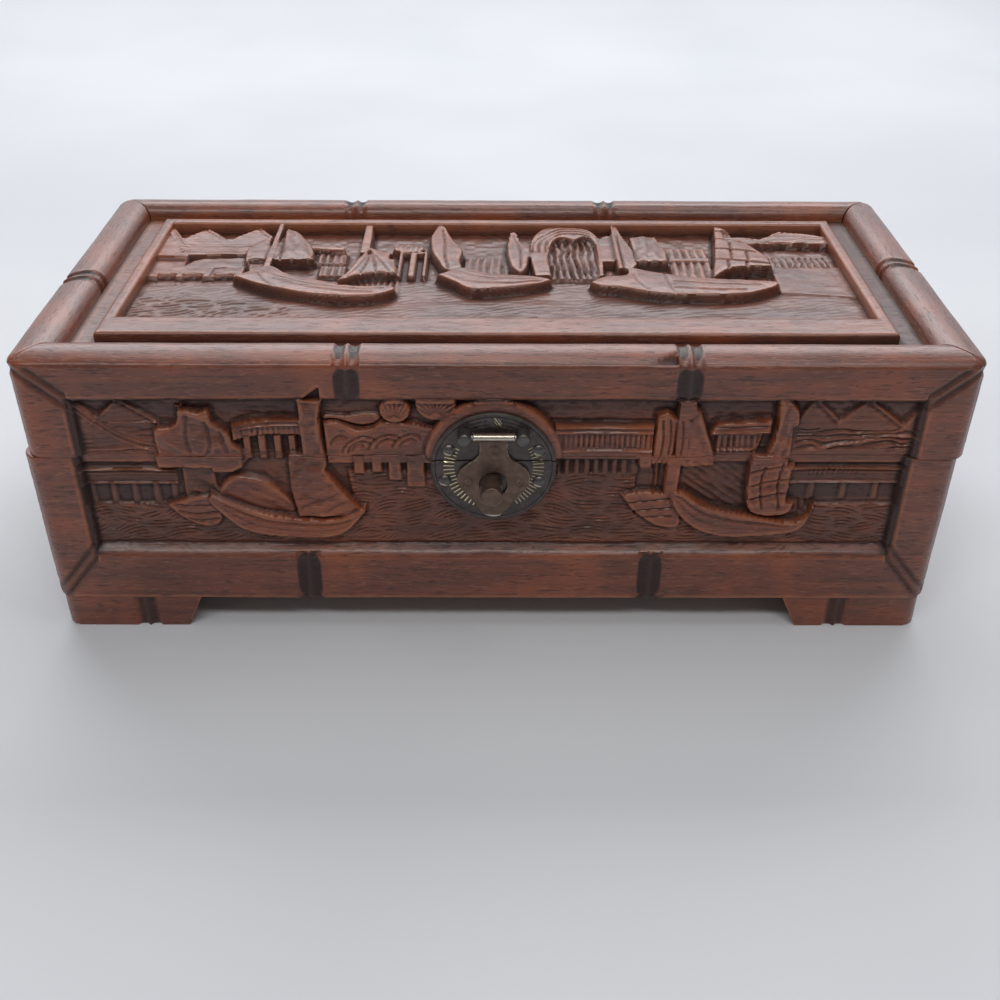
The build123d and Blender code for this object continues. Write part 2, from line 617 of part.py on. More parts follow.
def hinge_leaf(x, direction, spans):
    """A hinge leaf let into the edge of a back board, with its knuckles rolled round the pin."""
    edge = seam_height + direction * leaf_thickness
    low, high = min(seam_height, edge), max(seam_height, edge)
    free = pin_y - knuckle_radius - leaf_gap
    leaf = block(x - hinge_length / 2, x + hinge_length / 2, pin_y - leaf_width, free, low, high)
    for x0, x1 in spans:
        leaf += block(x0, x1, free, pin_y, low, high)
        leaf += rod_along_x(x0, x1, pin_y, seam_height, knuckle_radius)
    leaf -= rod_along_x(x - hinge_length, x + hinge_length, pin_y, seam_height, pin_radius + pin_clearance)
    return leaf - screws(direction, joint_clearance)


def hinge_pin(x):
    return rod_along_x(x - hinge_length / 2, x + hinge_length / 2, pin_y, seam_height, pin_radius)


def plate_half(upper):
    """One half of the round lock plate, with its raised rim and its holes."""
    disc = rod_along_y(lock_x, plate_face, front, plate_height, plate_radius)
    rim = rod_along_y(lock_x, plate_face - rim_height, plate_face, plate_height, plate_radius)
    rim -= rod_along_y(lock_x, plate_face - rim_height, plate_face, plate_height, plate_radius - rim_width)
    far = 2 * plate_radius
    low = seam_height + plate_gap / 2 if upper else seam_height - far
    high = seam_height + far if upper else seam_height - plate_gap / 2
    half = (disc + rim) & block(lock_x - far, lock_x + far, plate_face - rim_height, front, low, high)
    spots = knuckle_post_spots() if upper else [(post_x, post_height)]
    return half - shank_holes(spots) - nail_holes(upper_nails if upper else lower_nails)


def plate_nails(spots):
    """Dome-headed brass nails that hold one half of the plate."""
    nails = []
    for x, z in spots:
        sphere_radius = (nail_radius ** 2 + nail_dome ** 2) / (2 * nail_dome)
        dome = Pos(0, 0, nail_dome - sphere_radius) * Sphere(sphere_radius)
        dome &= Pos(0, 0, nail_dome) * Box(2 * nail_radius, 2 * nail_radius, 2 * nail_dome)
        stem = Pos(0, 0, -nail_length / 2) * Cylinder(nail_shank, nail_length)
        nails.append(Pos(lock_x + x, plate_face, plate_height + z) * Rot(90, 0, 0) * (dome + stem))
    return nails


def clinched_shank(x, z):
    """A square shank through the plate and the board, with its end bent over on the inside."""
    half = shank / 2
    inner = front + board
    leg = block(x - half, x + half, plate_face, inner + clinch_thickness, z - half, z + half)
    return leg + block(x - clinch / 2, x + clinch / 2, inner, inner + clinch_thickness, z - half, z + half)


def hasp_post(spot):
    """A round-ended post on the upper plate that carries one end of the hasp's rod."""
    x, z = spot
    body = rod_along_y(x, plate_face - knuckle_post_length, plate_face, z, knuckle_post_radius)
    body = fillet(body.edges().sort_by(Axis.Y)[0], knuckle_post_round)
    body += clinched_shank(x, z)
    reach = 2 * knuckle_post_radius
    return body - rod_along_x(x - reach, x + reach, rod_y, z, rod_radius + rod_clearance)


def hasp_rod():
    reach = knuckle_post_spread + knuckle_post_radius - rod_inset
    return rod_along_x(lock_x - reach, lock_x + reach, rod_y, rod_height, rod_radius)


def staple_tip_radius():
    """The farthest that the staple reaches from the rod's axis, seen along the rod."""
    ahead = rod_y - (hasp_back - hasp_thickness - post_reach)
    down = rod_height - post_height + post_radius
    return (ahead ** 2 + down ** 2) ** 0.5


def hasp():
    """The hasp: a pierced leaf with ogee shoulders, rolled at the top into a barrel round the rod."""
    widest = rod_to_staple - widest_above
    hole_top = rod_to_staple - post_radius - hole_above
    hole_low = staple_tip_radius() + swing_clearance
    drop = hole_low + tip_web
    neck = (neck_half, neck_above - widest)
    cusp = (cusp_half, cusp_above - widest)
    cove = (cusp_half - cove_in, cusp[1] + cove_up)
    upper, lower = (corner_half, corner_above - widest), (corner_half, -corner_above - widest)
    tip = (tip_half, tip_rise - drop)
    right = [
        Line((neck_half, 0), neck),
        ThreePointArc(neck, cove, cusp),
        Line(cusp, upper),
        ThreePointArc(upper, (hasp_half, -widest), lower),
        Line(lower, tip),
    ]
    left = [mirror(edge, Plane.YZ) for edge in right]
    ends = [ThreePointArc(tip, (0, -drop), (-tip_half, tip_rise - drop)),
            Line((-neck_half, 0), (neck_half, 0))]
    outline = make_face(Curve() + right + left + ends)
    hole_length = hole_low - hole_top
    hole_round = 0.99 * min(hole_half, hole_length / 2)
    outline -= Pos(0, -(hole_top + hole_low) / 2) * RectangleRounded(2 * hole_half, hole_length, hole_round)
    sheet = Pos(lock_x, hasp_back, rod_height) * extrude(Plane.XZ * outline, hasp_thickness)
    half = knuckle_post_spread - knuckle_post_radius - barrel_gap
    barrel = rod_along_x(lock_x - half, lock_x + half, rod_y, rod_height, barrel_radius)
    bore = rod_along_x(lock_x - 2 * half, lock_x + 2 * half, rod_y, rod_height, rod_radius + rod_clearance)
    return sheet + barrel - bore


def lock_staple():
    """The round staple that the hasp drops over, with a cross hole for a padlock."""
    tip = hasp_back - hasp_thickness - post_reach
    body = rod_along_y(post_x, tip, plate_face, post_height, post_radius)
    body = fillet(body.edges().sort_by(Axis.Y)[0], post_round)
    reach = 2 * post_radius
    body -= rod_along_x(post_x - reach, post_x + reach, tip + post_reach / 2, post_height, padlock_hole)
    return body + clinched_shank(post_x, post_height)


def all_parts():
    parts = {}
    for side, solid in boards(base_case(), base_x).items():
        parts["base_" + side] = solid
    for side, solid in boards(lid_case(), lid_x).items():
        parts["lid_" + side] = solid
    parts["base_bottom"] = base_bottom()
    parts["lid_panel"] = lid_panel()
    for row in ("front", "back"):
        for side in ("left", "right"):
            parts[f"foot_{row}_{side}"] = foot(side == "left", row == "front")
    for side, x in zip(("left", "right"), hinge_centres()):
        spans = knuckle_spans(x)
        parts[f"hinge_base_leaf_{side}"] = hinge_leaf(x, -1, spans[::2])
        parts[f"hinge_lid_leaf_{side}"] = hinge_leaf(x, 1, spans[1:2])
        parts[f"hinge_pin_{side}"] = hinge_pin(x)
    parts["hinge_base_screws"] = Compound(children=screws(-1))
    parts["hinge_lid_screws"] = Compound(children=screws(1))
    parts["lock_plate_upper"] = plate_half(True)
    parts["lock_plate_lower"] = plate_half(False)
    parts["plate_nails_upper"] = Compound(children=plate_nails(upper_nails))
    parts["plate_nails_lower"] = Compound(children=plate_nails(lower_nails))
    for side, spot in zip(("left", "right"), knuckle_post_spots()):
        parts[f"hasp_post_{side}"] = hasp_post(spot)
    parts["hasp_rod"] = hasp_rod()
    parts["hasp"] = hasp()
    parts["lock_staple"] = lock_staple()
    return parts


os.makedirs("parts", exist_ok=True)
for name, solid in all_parts().items():
    export_step(solid, f"parts/{name}.step")
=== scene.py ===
"""A carved camphor-wood box for papers and keepsakes, dressed over its CAD frame.

The sections follow the order in which such a box is put together: the base and its boards, the
feet, the lid and its top, the hinges, then the brass lock. Sizes are in millimetres until a mesh
is made. Along a wall, local X runs to the viewer's right and "inward" counts from its outer face.
"""

import bmesh
import bpy
import numpy as np
from mathutils import Matrix, Vector


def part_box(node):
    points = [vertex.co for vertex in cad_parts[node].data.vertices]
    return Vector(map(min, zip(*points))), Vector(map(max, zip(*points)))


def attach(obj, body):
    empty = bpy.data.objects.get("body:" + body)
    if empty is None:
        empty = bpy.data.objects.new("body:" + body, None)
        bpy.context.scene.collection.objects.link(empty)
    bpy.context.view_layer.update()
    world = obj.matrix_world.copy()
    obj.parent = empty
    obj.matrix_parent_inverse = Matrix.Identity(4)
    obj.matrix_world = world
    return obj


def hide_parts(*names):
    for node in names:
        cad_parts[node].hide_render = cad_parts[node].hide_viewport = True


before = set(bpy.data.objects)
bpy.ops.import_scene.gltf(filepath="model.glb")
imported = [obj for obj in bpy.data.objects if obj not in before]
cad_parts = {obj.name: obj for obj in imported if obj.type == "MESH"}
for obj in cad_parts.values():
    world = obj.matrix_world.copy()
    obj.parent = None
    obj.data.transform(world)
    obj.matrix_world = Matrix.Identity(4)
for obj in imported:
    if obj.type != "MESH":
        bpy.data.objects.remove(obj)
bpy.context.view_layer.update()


# The base boards. Four camphor boards, mitred at the corners and stained a reddish brown. Each is
# planed round along its bottom like a length of bamboo, then its middle is carved down to leave
# a harbour with junks standing. The inside is bare wood.

class Signal:
    """A value or a colour inside a material, so that its maths reads as plain sums."""

    def __init__(self, tree, socket):
        self.tree, self.socket = tree, socket

    def node(self, kind, settings=None, sockets=None, out=0):
        """Adds a node, gives it its settings first, then the values or links of its sockets."""
        made = self.tree.nodes.new(kind)
        for name, value in (settings or {}).items():
            setattr(made, name, value)
        for name, value in (sockets or {}).items():
            if isinstance(value, Signal):
                self.tree.links.new(value.socket, made.inputs[name])
            else:
                made.inputs[name].default_value = value
        return Signal(self.tree, made.outputs[out])

    def maths(self, operation, first, second):
        return self.node("ShaderNodeMath", {"operation": operation}, {0: first, 1: second})

    def __add__(self, other):
        return self.maths("ADD", self, other)

    def __radd__(self, other):
        return self.maths("ADD", other, self)

    def __sub__(self, other):
        return self.maths("SUBTRACT", self, other)

    def __rsub__(self, other):
        return self.maths("SUBTRACT", other, self)

    def __mul__(self, other):
        return self.maths("MULTIPLY", self, other)

    def between(self, low, high):
        """0 below low, 1 above high and smooth in between."""
        return self.node("ShaderNodeMapRange", {"interpolation_type": "SMOOTHSTEP"},
                         {"Value": self, "From Min": low, "From Max": high})

    def blend(self, first, second):
        """The first colour where this is 0, the second where it is 1."""
        return self.node("ShaderNodeMix", {"data_type": "RGBA"}, {0: self, 6: first, 7: second}, out=2)

    def noise(self, scale, detail=3.0, roughness=0.55, distortion=0.0, stretch=(1, 1, 1)):
        """Noise in millimetres: scale is about one blob's size, longer where stretch is more than 1."""
        place = self.node("ShaderNodeVectorMath", {"operation": "MULTIPLY"},
                          {0: self, 1: [1000 / (scale * s) for s in stretch]})
        return self.node("ShaderNodeTexNoise", sockets={"Vector": place, "Scale": 1.0, "Detail": detail,
                                                        "Roughness": roughness, "Distortion": distortion})


def rgb(red, green, blue):
    """A colour as it looks on a screen, 0 to 255, for a node's socket."""
    return [((v / 255 + 0.055) / 1.055) ** 2.4 if v > 10 else v / 255 / 12.92
            for v in (red, green, blue)] + [1.0]


def new_material(name, **plain):
    """A material with its shader's unchanging values set, and its surface coordinates to work from."""
    made = bpy.data.materials.new(name)
    made.use_nodes = True
    shader = made.node_tree.nodes["Principled BSDF"]
    for socket, value in plain.items():
        shader.inputs[socket.replace("_", " ")].default_value = value
    coords = made.node_tree.nodes.new("ShaderNodeTexCoord")
    return made, Signal(made.node_tree, coords.outputs["Object"])


def feed(material, bump, strength, reach, **sockets):
    """Links what varies over the surface to the material's shader."""
    tree = material.node_tree
    shader = tree.nodes["Principled BSDF"]
    sockets["Normal"] = bump.node("ShaderNodeBump", sockets={"Strength": strength, "Distance": reach,
                                                             "Height": bump})
    for name, signal in sockets.items():
        tree.links.new(signal.socket, shader.inputs[name.replace("_", " ")])


def vertex_value(surface, name):
    return surface.node("ShaderNodeAttribute", {"attribute_name": name}, out=2)


def drawn_out(grain, length):
    """Stretches a noise along the grain, which runs along X, Y or Z (0, 1 or 2)."""
    return [length if axis == grain else 1.0 for axis in range(3)]


def stained_camphor(name, grain):
    """Reddish-brown varnished camphor wood, rubbed pale on its edges, with painted glints along its fibres,
    dirt and painted shade in its hollows, and the stain and painted shade that each point carries.
    """
    made, surface = new_material(name, Specular_IOR_Level=0.45, Coat_Roughness=0.27, Coat_IOR=1.5)
    streaks = surface.noise(2.6, 4.0, 0.6, 0.6, drawn_out(grain, 22.0))
    figure = surface.noise(11.0, 2.0, 0.5, 1.2, drawn_out(grain, 6.25))
    patches = surface.noise(34.0, 3.0, 0.6)
    pores = surface.noise(0.62, 2.0, 0.6, 0.0, drawn_out(grain, 8.0)).between(0.585, 0.665)
    # light flecks along the grain are painted glints, as if the raised fibres caught the light; the same
    # noise also lifts them in the bump
    glinting_fibres = surface.noise(0.5, 2.0, 0.6, 0.3, drawn_out(grain, 8.0)).between(0.57, 0.66)
    wood = streaks.between(0.30, 0.72).blend(rgb(88, 42, 27), rgb(122, 62, 39))
    wood = (figure.between(0.42, 0.75) * 0.4).blend(wood, rgb(76, 37, 27))
    wood = (patches.between(0.42, 0.70) * 0.55).blend(wood, rgb(154, 76, 36))
    wood = (glinting_fibres * 0.3).blend(wood, rgb(168, 112, 84))
    wood = (pores * 0.65).blend(wood, rgb(50, 24, 19))
    hollow, edge = vertex_value(surface, "hollow"), vertex_value(surface, "edge")
    # the hollows are darkened both by dirt and by painted shade
    grime_and_shade = hollow * (surface.noise(5.0, 3.0) * 0.4 + 0.7)
    wood = (grime_and_shade.between(0.15, 1.1) * 0.7).blend(wood, rgb(50, 27, 23))
    rubbed = edge * surface.noise(6.0, 4.0, 0.65).between(0.12, 0.6)
    wood = (rubbed.between(0.12, 0.95) * 0.5).blend(wood, rgb(166, 96, 58))
    # each point's mark darkens it: the real stain of the nodes, and painted shadow and shade in the
    # carving's hollows and under the rails
    stain_shade_and_shine = vertex_value(surface, "stain_shade_and_shine")
    wood = (stain_shade_and_shine * 0.9).blend(wood, rgb(40, 27, 25))
    roughness = 0.35 + streaks * 0.12 + hollow * 0.16 + pores * 0.22 + stain_shade_and_shine * 0.1
    coat = 0.62 - hollow * 0.3 - stain_shade_and_shine * 0.3
    relief = streaks * 0.45 + pores * -0.9 + glinting_fibres * 0.4 + surface.noise(1.1, 3.0) * 0.3
    feed(made, relief, 0.5, 0.00028, Base_Color=wood, Roughness=roughness, Coat_Weight=coat)
    return made


def bare_camphor(name, grain):
    """Unfinished camphor wood, pale and greyed with handling, for the inside and the underside."""
    made, surface = new_material(name, Specular_IOR_Level=0.35)
    rings = surface.noise(3.4, 3.0, 0.55, 1.4, drawn_out(grain, 26.0))
    wood = rings.between(0.32, 0.70).blend(rgb(158, 118, 84), rgb(194, 156, 116))
    pores = surface.noise(0.8, 2.0, 0.6, 0.0, drawn_out(grain, 11.0)).between(0.6, 0.7)
    wood = (pores * 0.5).blend(wood, rgb(112, 76, 52))
    wood = (surface.noise(40.0, 3.0).between(0.45, 0.7) * 0.35).blend(wood, rgb(132, 88, 62))
    feed(made, rings, 0.35, 0.0003, Base_Color=wood, Roughness=0.62 + rings * 0.2)
    return made


wood_along = {"front": stained_camphor("carved_camphor_along_x", 0),
              "left": stained_camphor("carved_camphor_along_y", 1)}
inside_along = {"front": bare_camphor("bare_camphor_along_x", 0),
                "left": bare_camphor("bare_camphor_along_y", 1)}
for near, far in (("front", "back"), ("left", "right")):
    wood_along[far], inside_along[far] = wood_along[near], inside_along[near]

BOARD = 14.0             # thickness of the boards
CORNER = 6.0             # how far the box's upright corners are rounded
STILE = 17.0             # width of the plain frame at a board's ends
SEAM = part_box("base_front")[1].z * 1000
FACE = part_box("lid_front")[0].y * 1000
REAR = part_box("lid_back")[1].y * 1000
MIDDLE = (FACE + REAR) / 2
BASE_X = (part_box("base_left")[0].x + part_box("base_right")[1].x) * 500
LID_X = (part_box("lid_left")[0].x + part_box("lid_right")[1].x) * 500
LENGTH = (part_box("base_right")[1].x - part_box("base_left")[0].x) * 1000
DEPTH = REAR - FACE
CARVED, BACK_SUNK = 4.5, 2.0     # how far the middle of a board is sunk, and that of the back
RUNS = {"front": LENGTH, "back": LENGTH, "left": DEPTH, "right": DEPTH}
FINE = {"front": 0.42, "back": 1.0, "left": 0.55, "right": 0.55}     # spacing of a board's points
COARSE = 0.6             # and over its plain frame
MITRE_CRACK = 0.07       # what each board falls short of its mitre


def ease(share):
    """A soft step from 0 to 1."""
    share = np.clip(share, 0.0, 1.0)
    return share * share * (3 - 2 * share)


GRID_START = 900.0       # keeps every place on the positive side of a random grid


def between_spots(u, v, spots):
    """Where places fall between four random values of a repeating grid, and those four."""
    i, j = np.floor(u).astype(int), np.floor(v).astype(int)
    size = len(spots)
    corners = [spots[(i + a) % size, (j + b) % size] for a, b in ((0, 0), (1, 0), (0, 1), (1, 1))]
    return u - i, v - j, *corners


def drift(across, up, size, seed):
    """Slow random ups and downs from -1 to 1, about size millimetres apart."""
    spots = np.random.default_rng(seed).uniform(-1, 1, (64, 64))
    s, t, a, b, c, d = between_spots(across / size + GRID_START, up / size + GRID_START, spots)
    s, t = ease(s), ease(t)
    return (a * (1 - s) + b * s) * (1 - t) + (c * (1 - s) + d * s) * t


def curved(points, steps=5):
    """A smooth line through a few points."""
    p = np.array([points[0], *points, points[-1]], float)
    t = np.arange(steps)[:, None] / steps
    runs = [0.5 * (2 * b + (c - a) * t + (2 * a - 5 * b + 4 * c - d) * t ** 2
                   + (3 * b - a - 3 * c + d) * t ** 3)
            for a, b, c, d in zip(p[:-3], p[1:-2], p[2:-1], p[3:])]
    return np.vstack(runs + [p[-1:]])


RUN_OUT = 0.7            # over this the strokes of the knife run out at a figure's edge
BUNDLE_X, BUNDLE_Z = 11.0, 4.6   # size of one bundle of waves


class Carving:
    """A carver's ground: heights over a grid, raised where figures stand and cut by the gouge."""

    def __init__(self, across, up):
        self.across, self.up = across, up
        self.height = 0.35 + 0.2 * drift(across, up, 2.2, 5)
        # painted shade laid into hollows, gaps and ripple valleys, cleared where a figure stands
        self.shade_and_stain = np.zeros_like(self.height)

    def reach(self, points, closed, margin):
        """Where the line is near, and how far from it, negative inside a closed one."""
        line = np.array(points, float)
        low, high = line.min(0) - margin, line.max(0) + margin
        near = np.nonzero((self.across > low[0]) & (self.across < high[0])
                          & (self.up > low[1]) & (self.up < high[1]))
        x, z = self.across[near], self.up[near]
        gap, inside = np.full(x.shape, 1e6), np.zeros(x.shape, bool)
        if closed:
            line = np.vstack([line, line[:1]])
        for (x0, z0), (x1, z1) in zip(line[:-1], line[1:]):
            run, rise = x1 - x0, z1 - z0
            share = np.clip(((x - x0) * run + (z - z0) * rise) / (run * run + rise * rise + 1e-9), 0, 1)
            gap = np.minimum(gap, np.hypot(x - x0 - share * run, z - z0 - share * rise))
            if closed and z0 != z1:
                inside ^= ((z0 > z) != (z1 > z)) & (x < run * (z - z0) / rise + x0)
        return near, np.where(inside, -gap, gap) if closed else gap

    def stand(self, points, height, edge=0.8, tilt=(0.0, 0.0), crown=0.0):
        """A figure left standing: flat or tilted, crowned in the middle, and undercut all round."""
        near, gap = self.reach(points, True, 1.2)
        x, z = self.across[near], self.up[near]
        centre = np.array(points, float).mean(0)
        level = (height + tilt[0] * (x - centre[0]) + tilt[1] * (z - centre[1])
                 + 0.10 * drift(x, z, 3.0, 17) - crown * np.exp(gap / 2.2) + crown * 0.4)
        share = ease((edge * 0.6 - gap) / edge)
        ditch = 0.12 * np.exp(-((gap - edge) / 0.45) ** 2) * (gap > 0)
        self.height[near] = self.height[near] * (1 - share) + level * share - ditch
        # a standing figure loses the painted shade laid under it
        self.shade_and_stain[near] *= 1 - share

    def facets(self, points, size, relief, seed):
        """Flat strokes of the knife that meet in creases, all over a shape."""
        near, gap = self.reach(points, True, 0.1)
        x, z = self.across[near], self.up[near]
        spots = np.random.default_rng(seed).uniform(-relief, relief, (40, 40))
        u, v = (x + 0.45 * z) / size + GRID_START, (z - 0.3 * x) / size / 1.25 + GRID_START
        s, t, a, b, c, d = between_spots(u, v, spots)
        lower, upper = a + s * (b - a) + t * (c - a), d + (1 - s) * (c - d) + (1 - t) * (b - d)
        self.height[near] += np.where(s + t < 1, lower, upper) * ease(-gap / RUN_OUT)

    def shade(self, points, amount, soft=0.8):
        """Darkens a hollow with painted shade, fading out over its edge."""
        near, gap = self.reach(points, True, soft)
        self.shade_and_stain[near] = np.maximum(self.shade_and_stain[near], amount * ease((soft * 0.5 - gap) / soft))

    def cut(self, points, width=0.8, depth=0.5):
        """A groove along a line, running out at both ends."""
        near, gap = self.reach(points, False, width)
        self.height[near] -= depth * ease(1 - gap / width)

    def bead(self, points, width=0.8, height=0.45):
        self.cut(points, width, -height)

    def rule(self, points, angle, spacing, depth, sway=0.5):
        """Roughly parallel gouge cuts inside a shape."""
        near, gap = self.reach(points, True, 0.1)
        x, z = self.across[near], self.up[near]
        slant = np.radians(angle)
        over = z * np.cos(slant) - x * np.sin(slant) + sway * drift(x, z, 5.0, 23)
        stroke = 0.75 + 0.35 * drift(x * np.cos(slant) + z * np.sin(slant), over * 2, 6.0, 31)
        ridges = (0.5 + 0.5 * np.cos(2 * np.pi * over / spacing)) ** 1.5
        self.height[near] -= depth * stroke * ease(-gap / RUN_OUT) * ridges

    def water(self, points, level, spacing=1.35, depth=0.5, lean=0.0, fade=0.6):
        """Water as bundles of nested arcs, each laid over the next and running out at its ends."""
        near, gap = self.reach(points, True, 1.0)
        x, z = self.across[near], self.up[near]
        chance = np.random.default_rng(41)
        low, high = np.array(points, float).min(0), np.array(points, float).max(0)
        nearest, second, line = np.full(x.shape, 1e6), np.full(x.shape, 1e6), np.zeros(x.shape)
        for column in np.arange(low[0], high[0] + BUNDLE_X, BUNDLE_X):
            for row in np.arange(low[1], high[1] + BUNDLE_Z, BUNDLE_Z):
                spot_x = column + BUNDLE_X * chance.uniform(-0.5, 0.5)
                spot_z = row + BUNDLE_Z * chance.uniform(-0.5, 0.5)
                slope, bend = lean + chance.uniform(-0.28, 0.28), chance.uniform(-0.05, 0.05)
                away = np.hypot((x - spot_x) * BUNDLE_Z / BUNDLE_X, z - spot_z)
                closer = away < nearest
                second = np.where(closer, nearest, np.minimum(second, away))
                nearest = np.where(closer, away, nearest)
                off = x - spot_x
                line = np.where(closer, z - spot_z - slope * off - bend * off ** 2, line)
        stroke = 0.2 + 0.8 * ease((second - nearest) / 1.8)
        ripples = (0.5 + 0.5 * np.cos(2 * np.pi * line / spacing)) ** 1.2
        share = ease(-gap / fade)
        surface = level + 0.3 * drift(x / 1.8, z, 5.0, 47) - depth * stroke * ripples
        self.height[near] = self.height[near] * (1 - share) + surface * share
        # painted shade in the valleys of the ripples
        self.shade_and_stain[near] = np.maximum(self.shade_and_stain[near] * (1 - share), 0.55 * share * stroke * ripples)


def sheltered(height, reach):
    """0 in the open, 1 deep beside something that stands higher, from a grid of heights."""
    def moved(i, j):
        return np.roll(height, (i, j), (0, 1))

    wide = sum(moved(i, j) for i in (-reach, 0, reach) for j in (-reach, 0, reach)) / 9
    tight = sum(moved(i, j) for i in (-1, 1) for j in (-1, 1)) / 4
    return ease(((wide + tight) / 2 - height - 0.15) / 1.1)


def oblong(x0, z0, x1, z1):
    return [(x0, z0), (x1, z0), (x1, z1), (x0, z1)]


def oval(x, z, wide, tall, count):
    turn = np.linspace(0, 2 * np.pi, count + 1)[:-1]
    return np.column_stack([x + wide * np.cos(turn), z + tall * np.sin(turn)])


def ruled(work, points, height, angle, spacing, depth, sway=0.5, **shape):
    """A figure left standing, with parallel cuts all over it."""
    work.stand(points, height, **shape)
    work.rule(points, angle, spacing, depth, sway)


def hull(work, rim, keel, height):
    """A boat's side: a long crescent with its planks marked and its gunwale standing proud."""
    top, low = curved(rim), curved(keel)
    work.stand(np.vstack([top, low[::-1]]), height)
    work.bead(top - [0, 0.9], 0.8, 0.35)
    low = low[np.round(np.linspace(0, len(low) - 1, len(top))).astype(int)]
    for share, depth in ((0.30, 0.5), (0.62, 0.3)):
        work.cut(top * (1 - share) + low * share, 0.8, depth)


def battened_sail(work, outline, height, angle, spacing=3.6):
    """A junk's sail, cut in facets, with the few slanting lines of its battens."""
    work.stand(outline, height, crown=0.4)
    work.facets(outline, 4.4, 0.65, int(height * 10) + len(outline))
    work.rule(outline, angle, spacing, 0.55, 0.9)


def peak(work, left, top, right, foot, height):
    """A low mountain, its slopes marked by bright lines and its face by level cuts."""
    work.stand([left, top, right, (right[0], foot), (left[0], foot)], height, 1.5)
    slope = np.array(right, float) - top
    across = np.array([slope[1], -slope[0]]) / np.hypot(*slope) * 1.2
    work.bead([left, top], 0.7, 0.35)
    work.bead([top, right], 0.7, 0.5)
    work.cut([np.array(top) + across, np.array(right) + across], 0.7, 0.5)
    work.rule([left, top, right], 3, 1.9, 0.22)


def pier(work, x0, x1, planks, foot, posts):
    """A landing stage: plank edges in a row, posts in the water, and painted shade in the gaps under the
    planks and over the posts.
    """
    edge = planks - 4.2
    under = oblong(x0, foot, x1, edge)
    work.stand(under, 0.2)
    work.shade(under, 0.85)
    work.stand(oblong(x0, edge, x1, planks + 1.8), 0.9)
    for z, rise in ((planks + 1.0, 1.2), (planks - 0.7, 0.4), (planks - 4.4, 1.2)):
        work.bead([(x0, z), ((x0 + x1) / 2, z + 0.25), (x1, z)], 0.75, rise)
    for x in posts:
        work.stand([(x - 1.1, foot - 0.6), (x + 0.9, foot - 0.3), (x + 0.8, planks - 4.6),
                    (x - 0.8, planks - 4.6)], 0.8, crown=0.3)
    work.shade(under, 0.45)


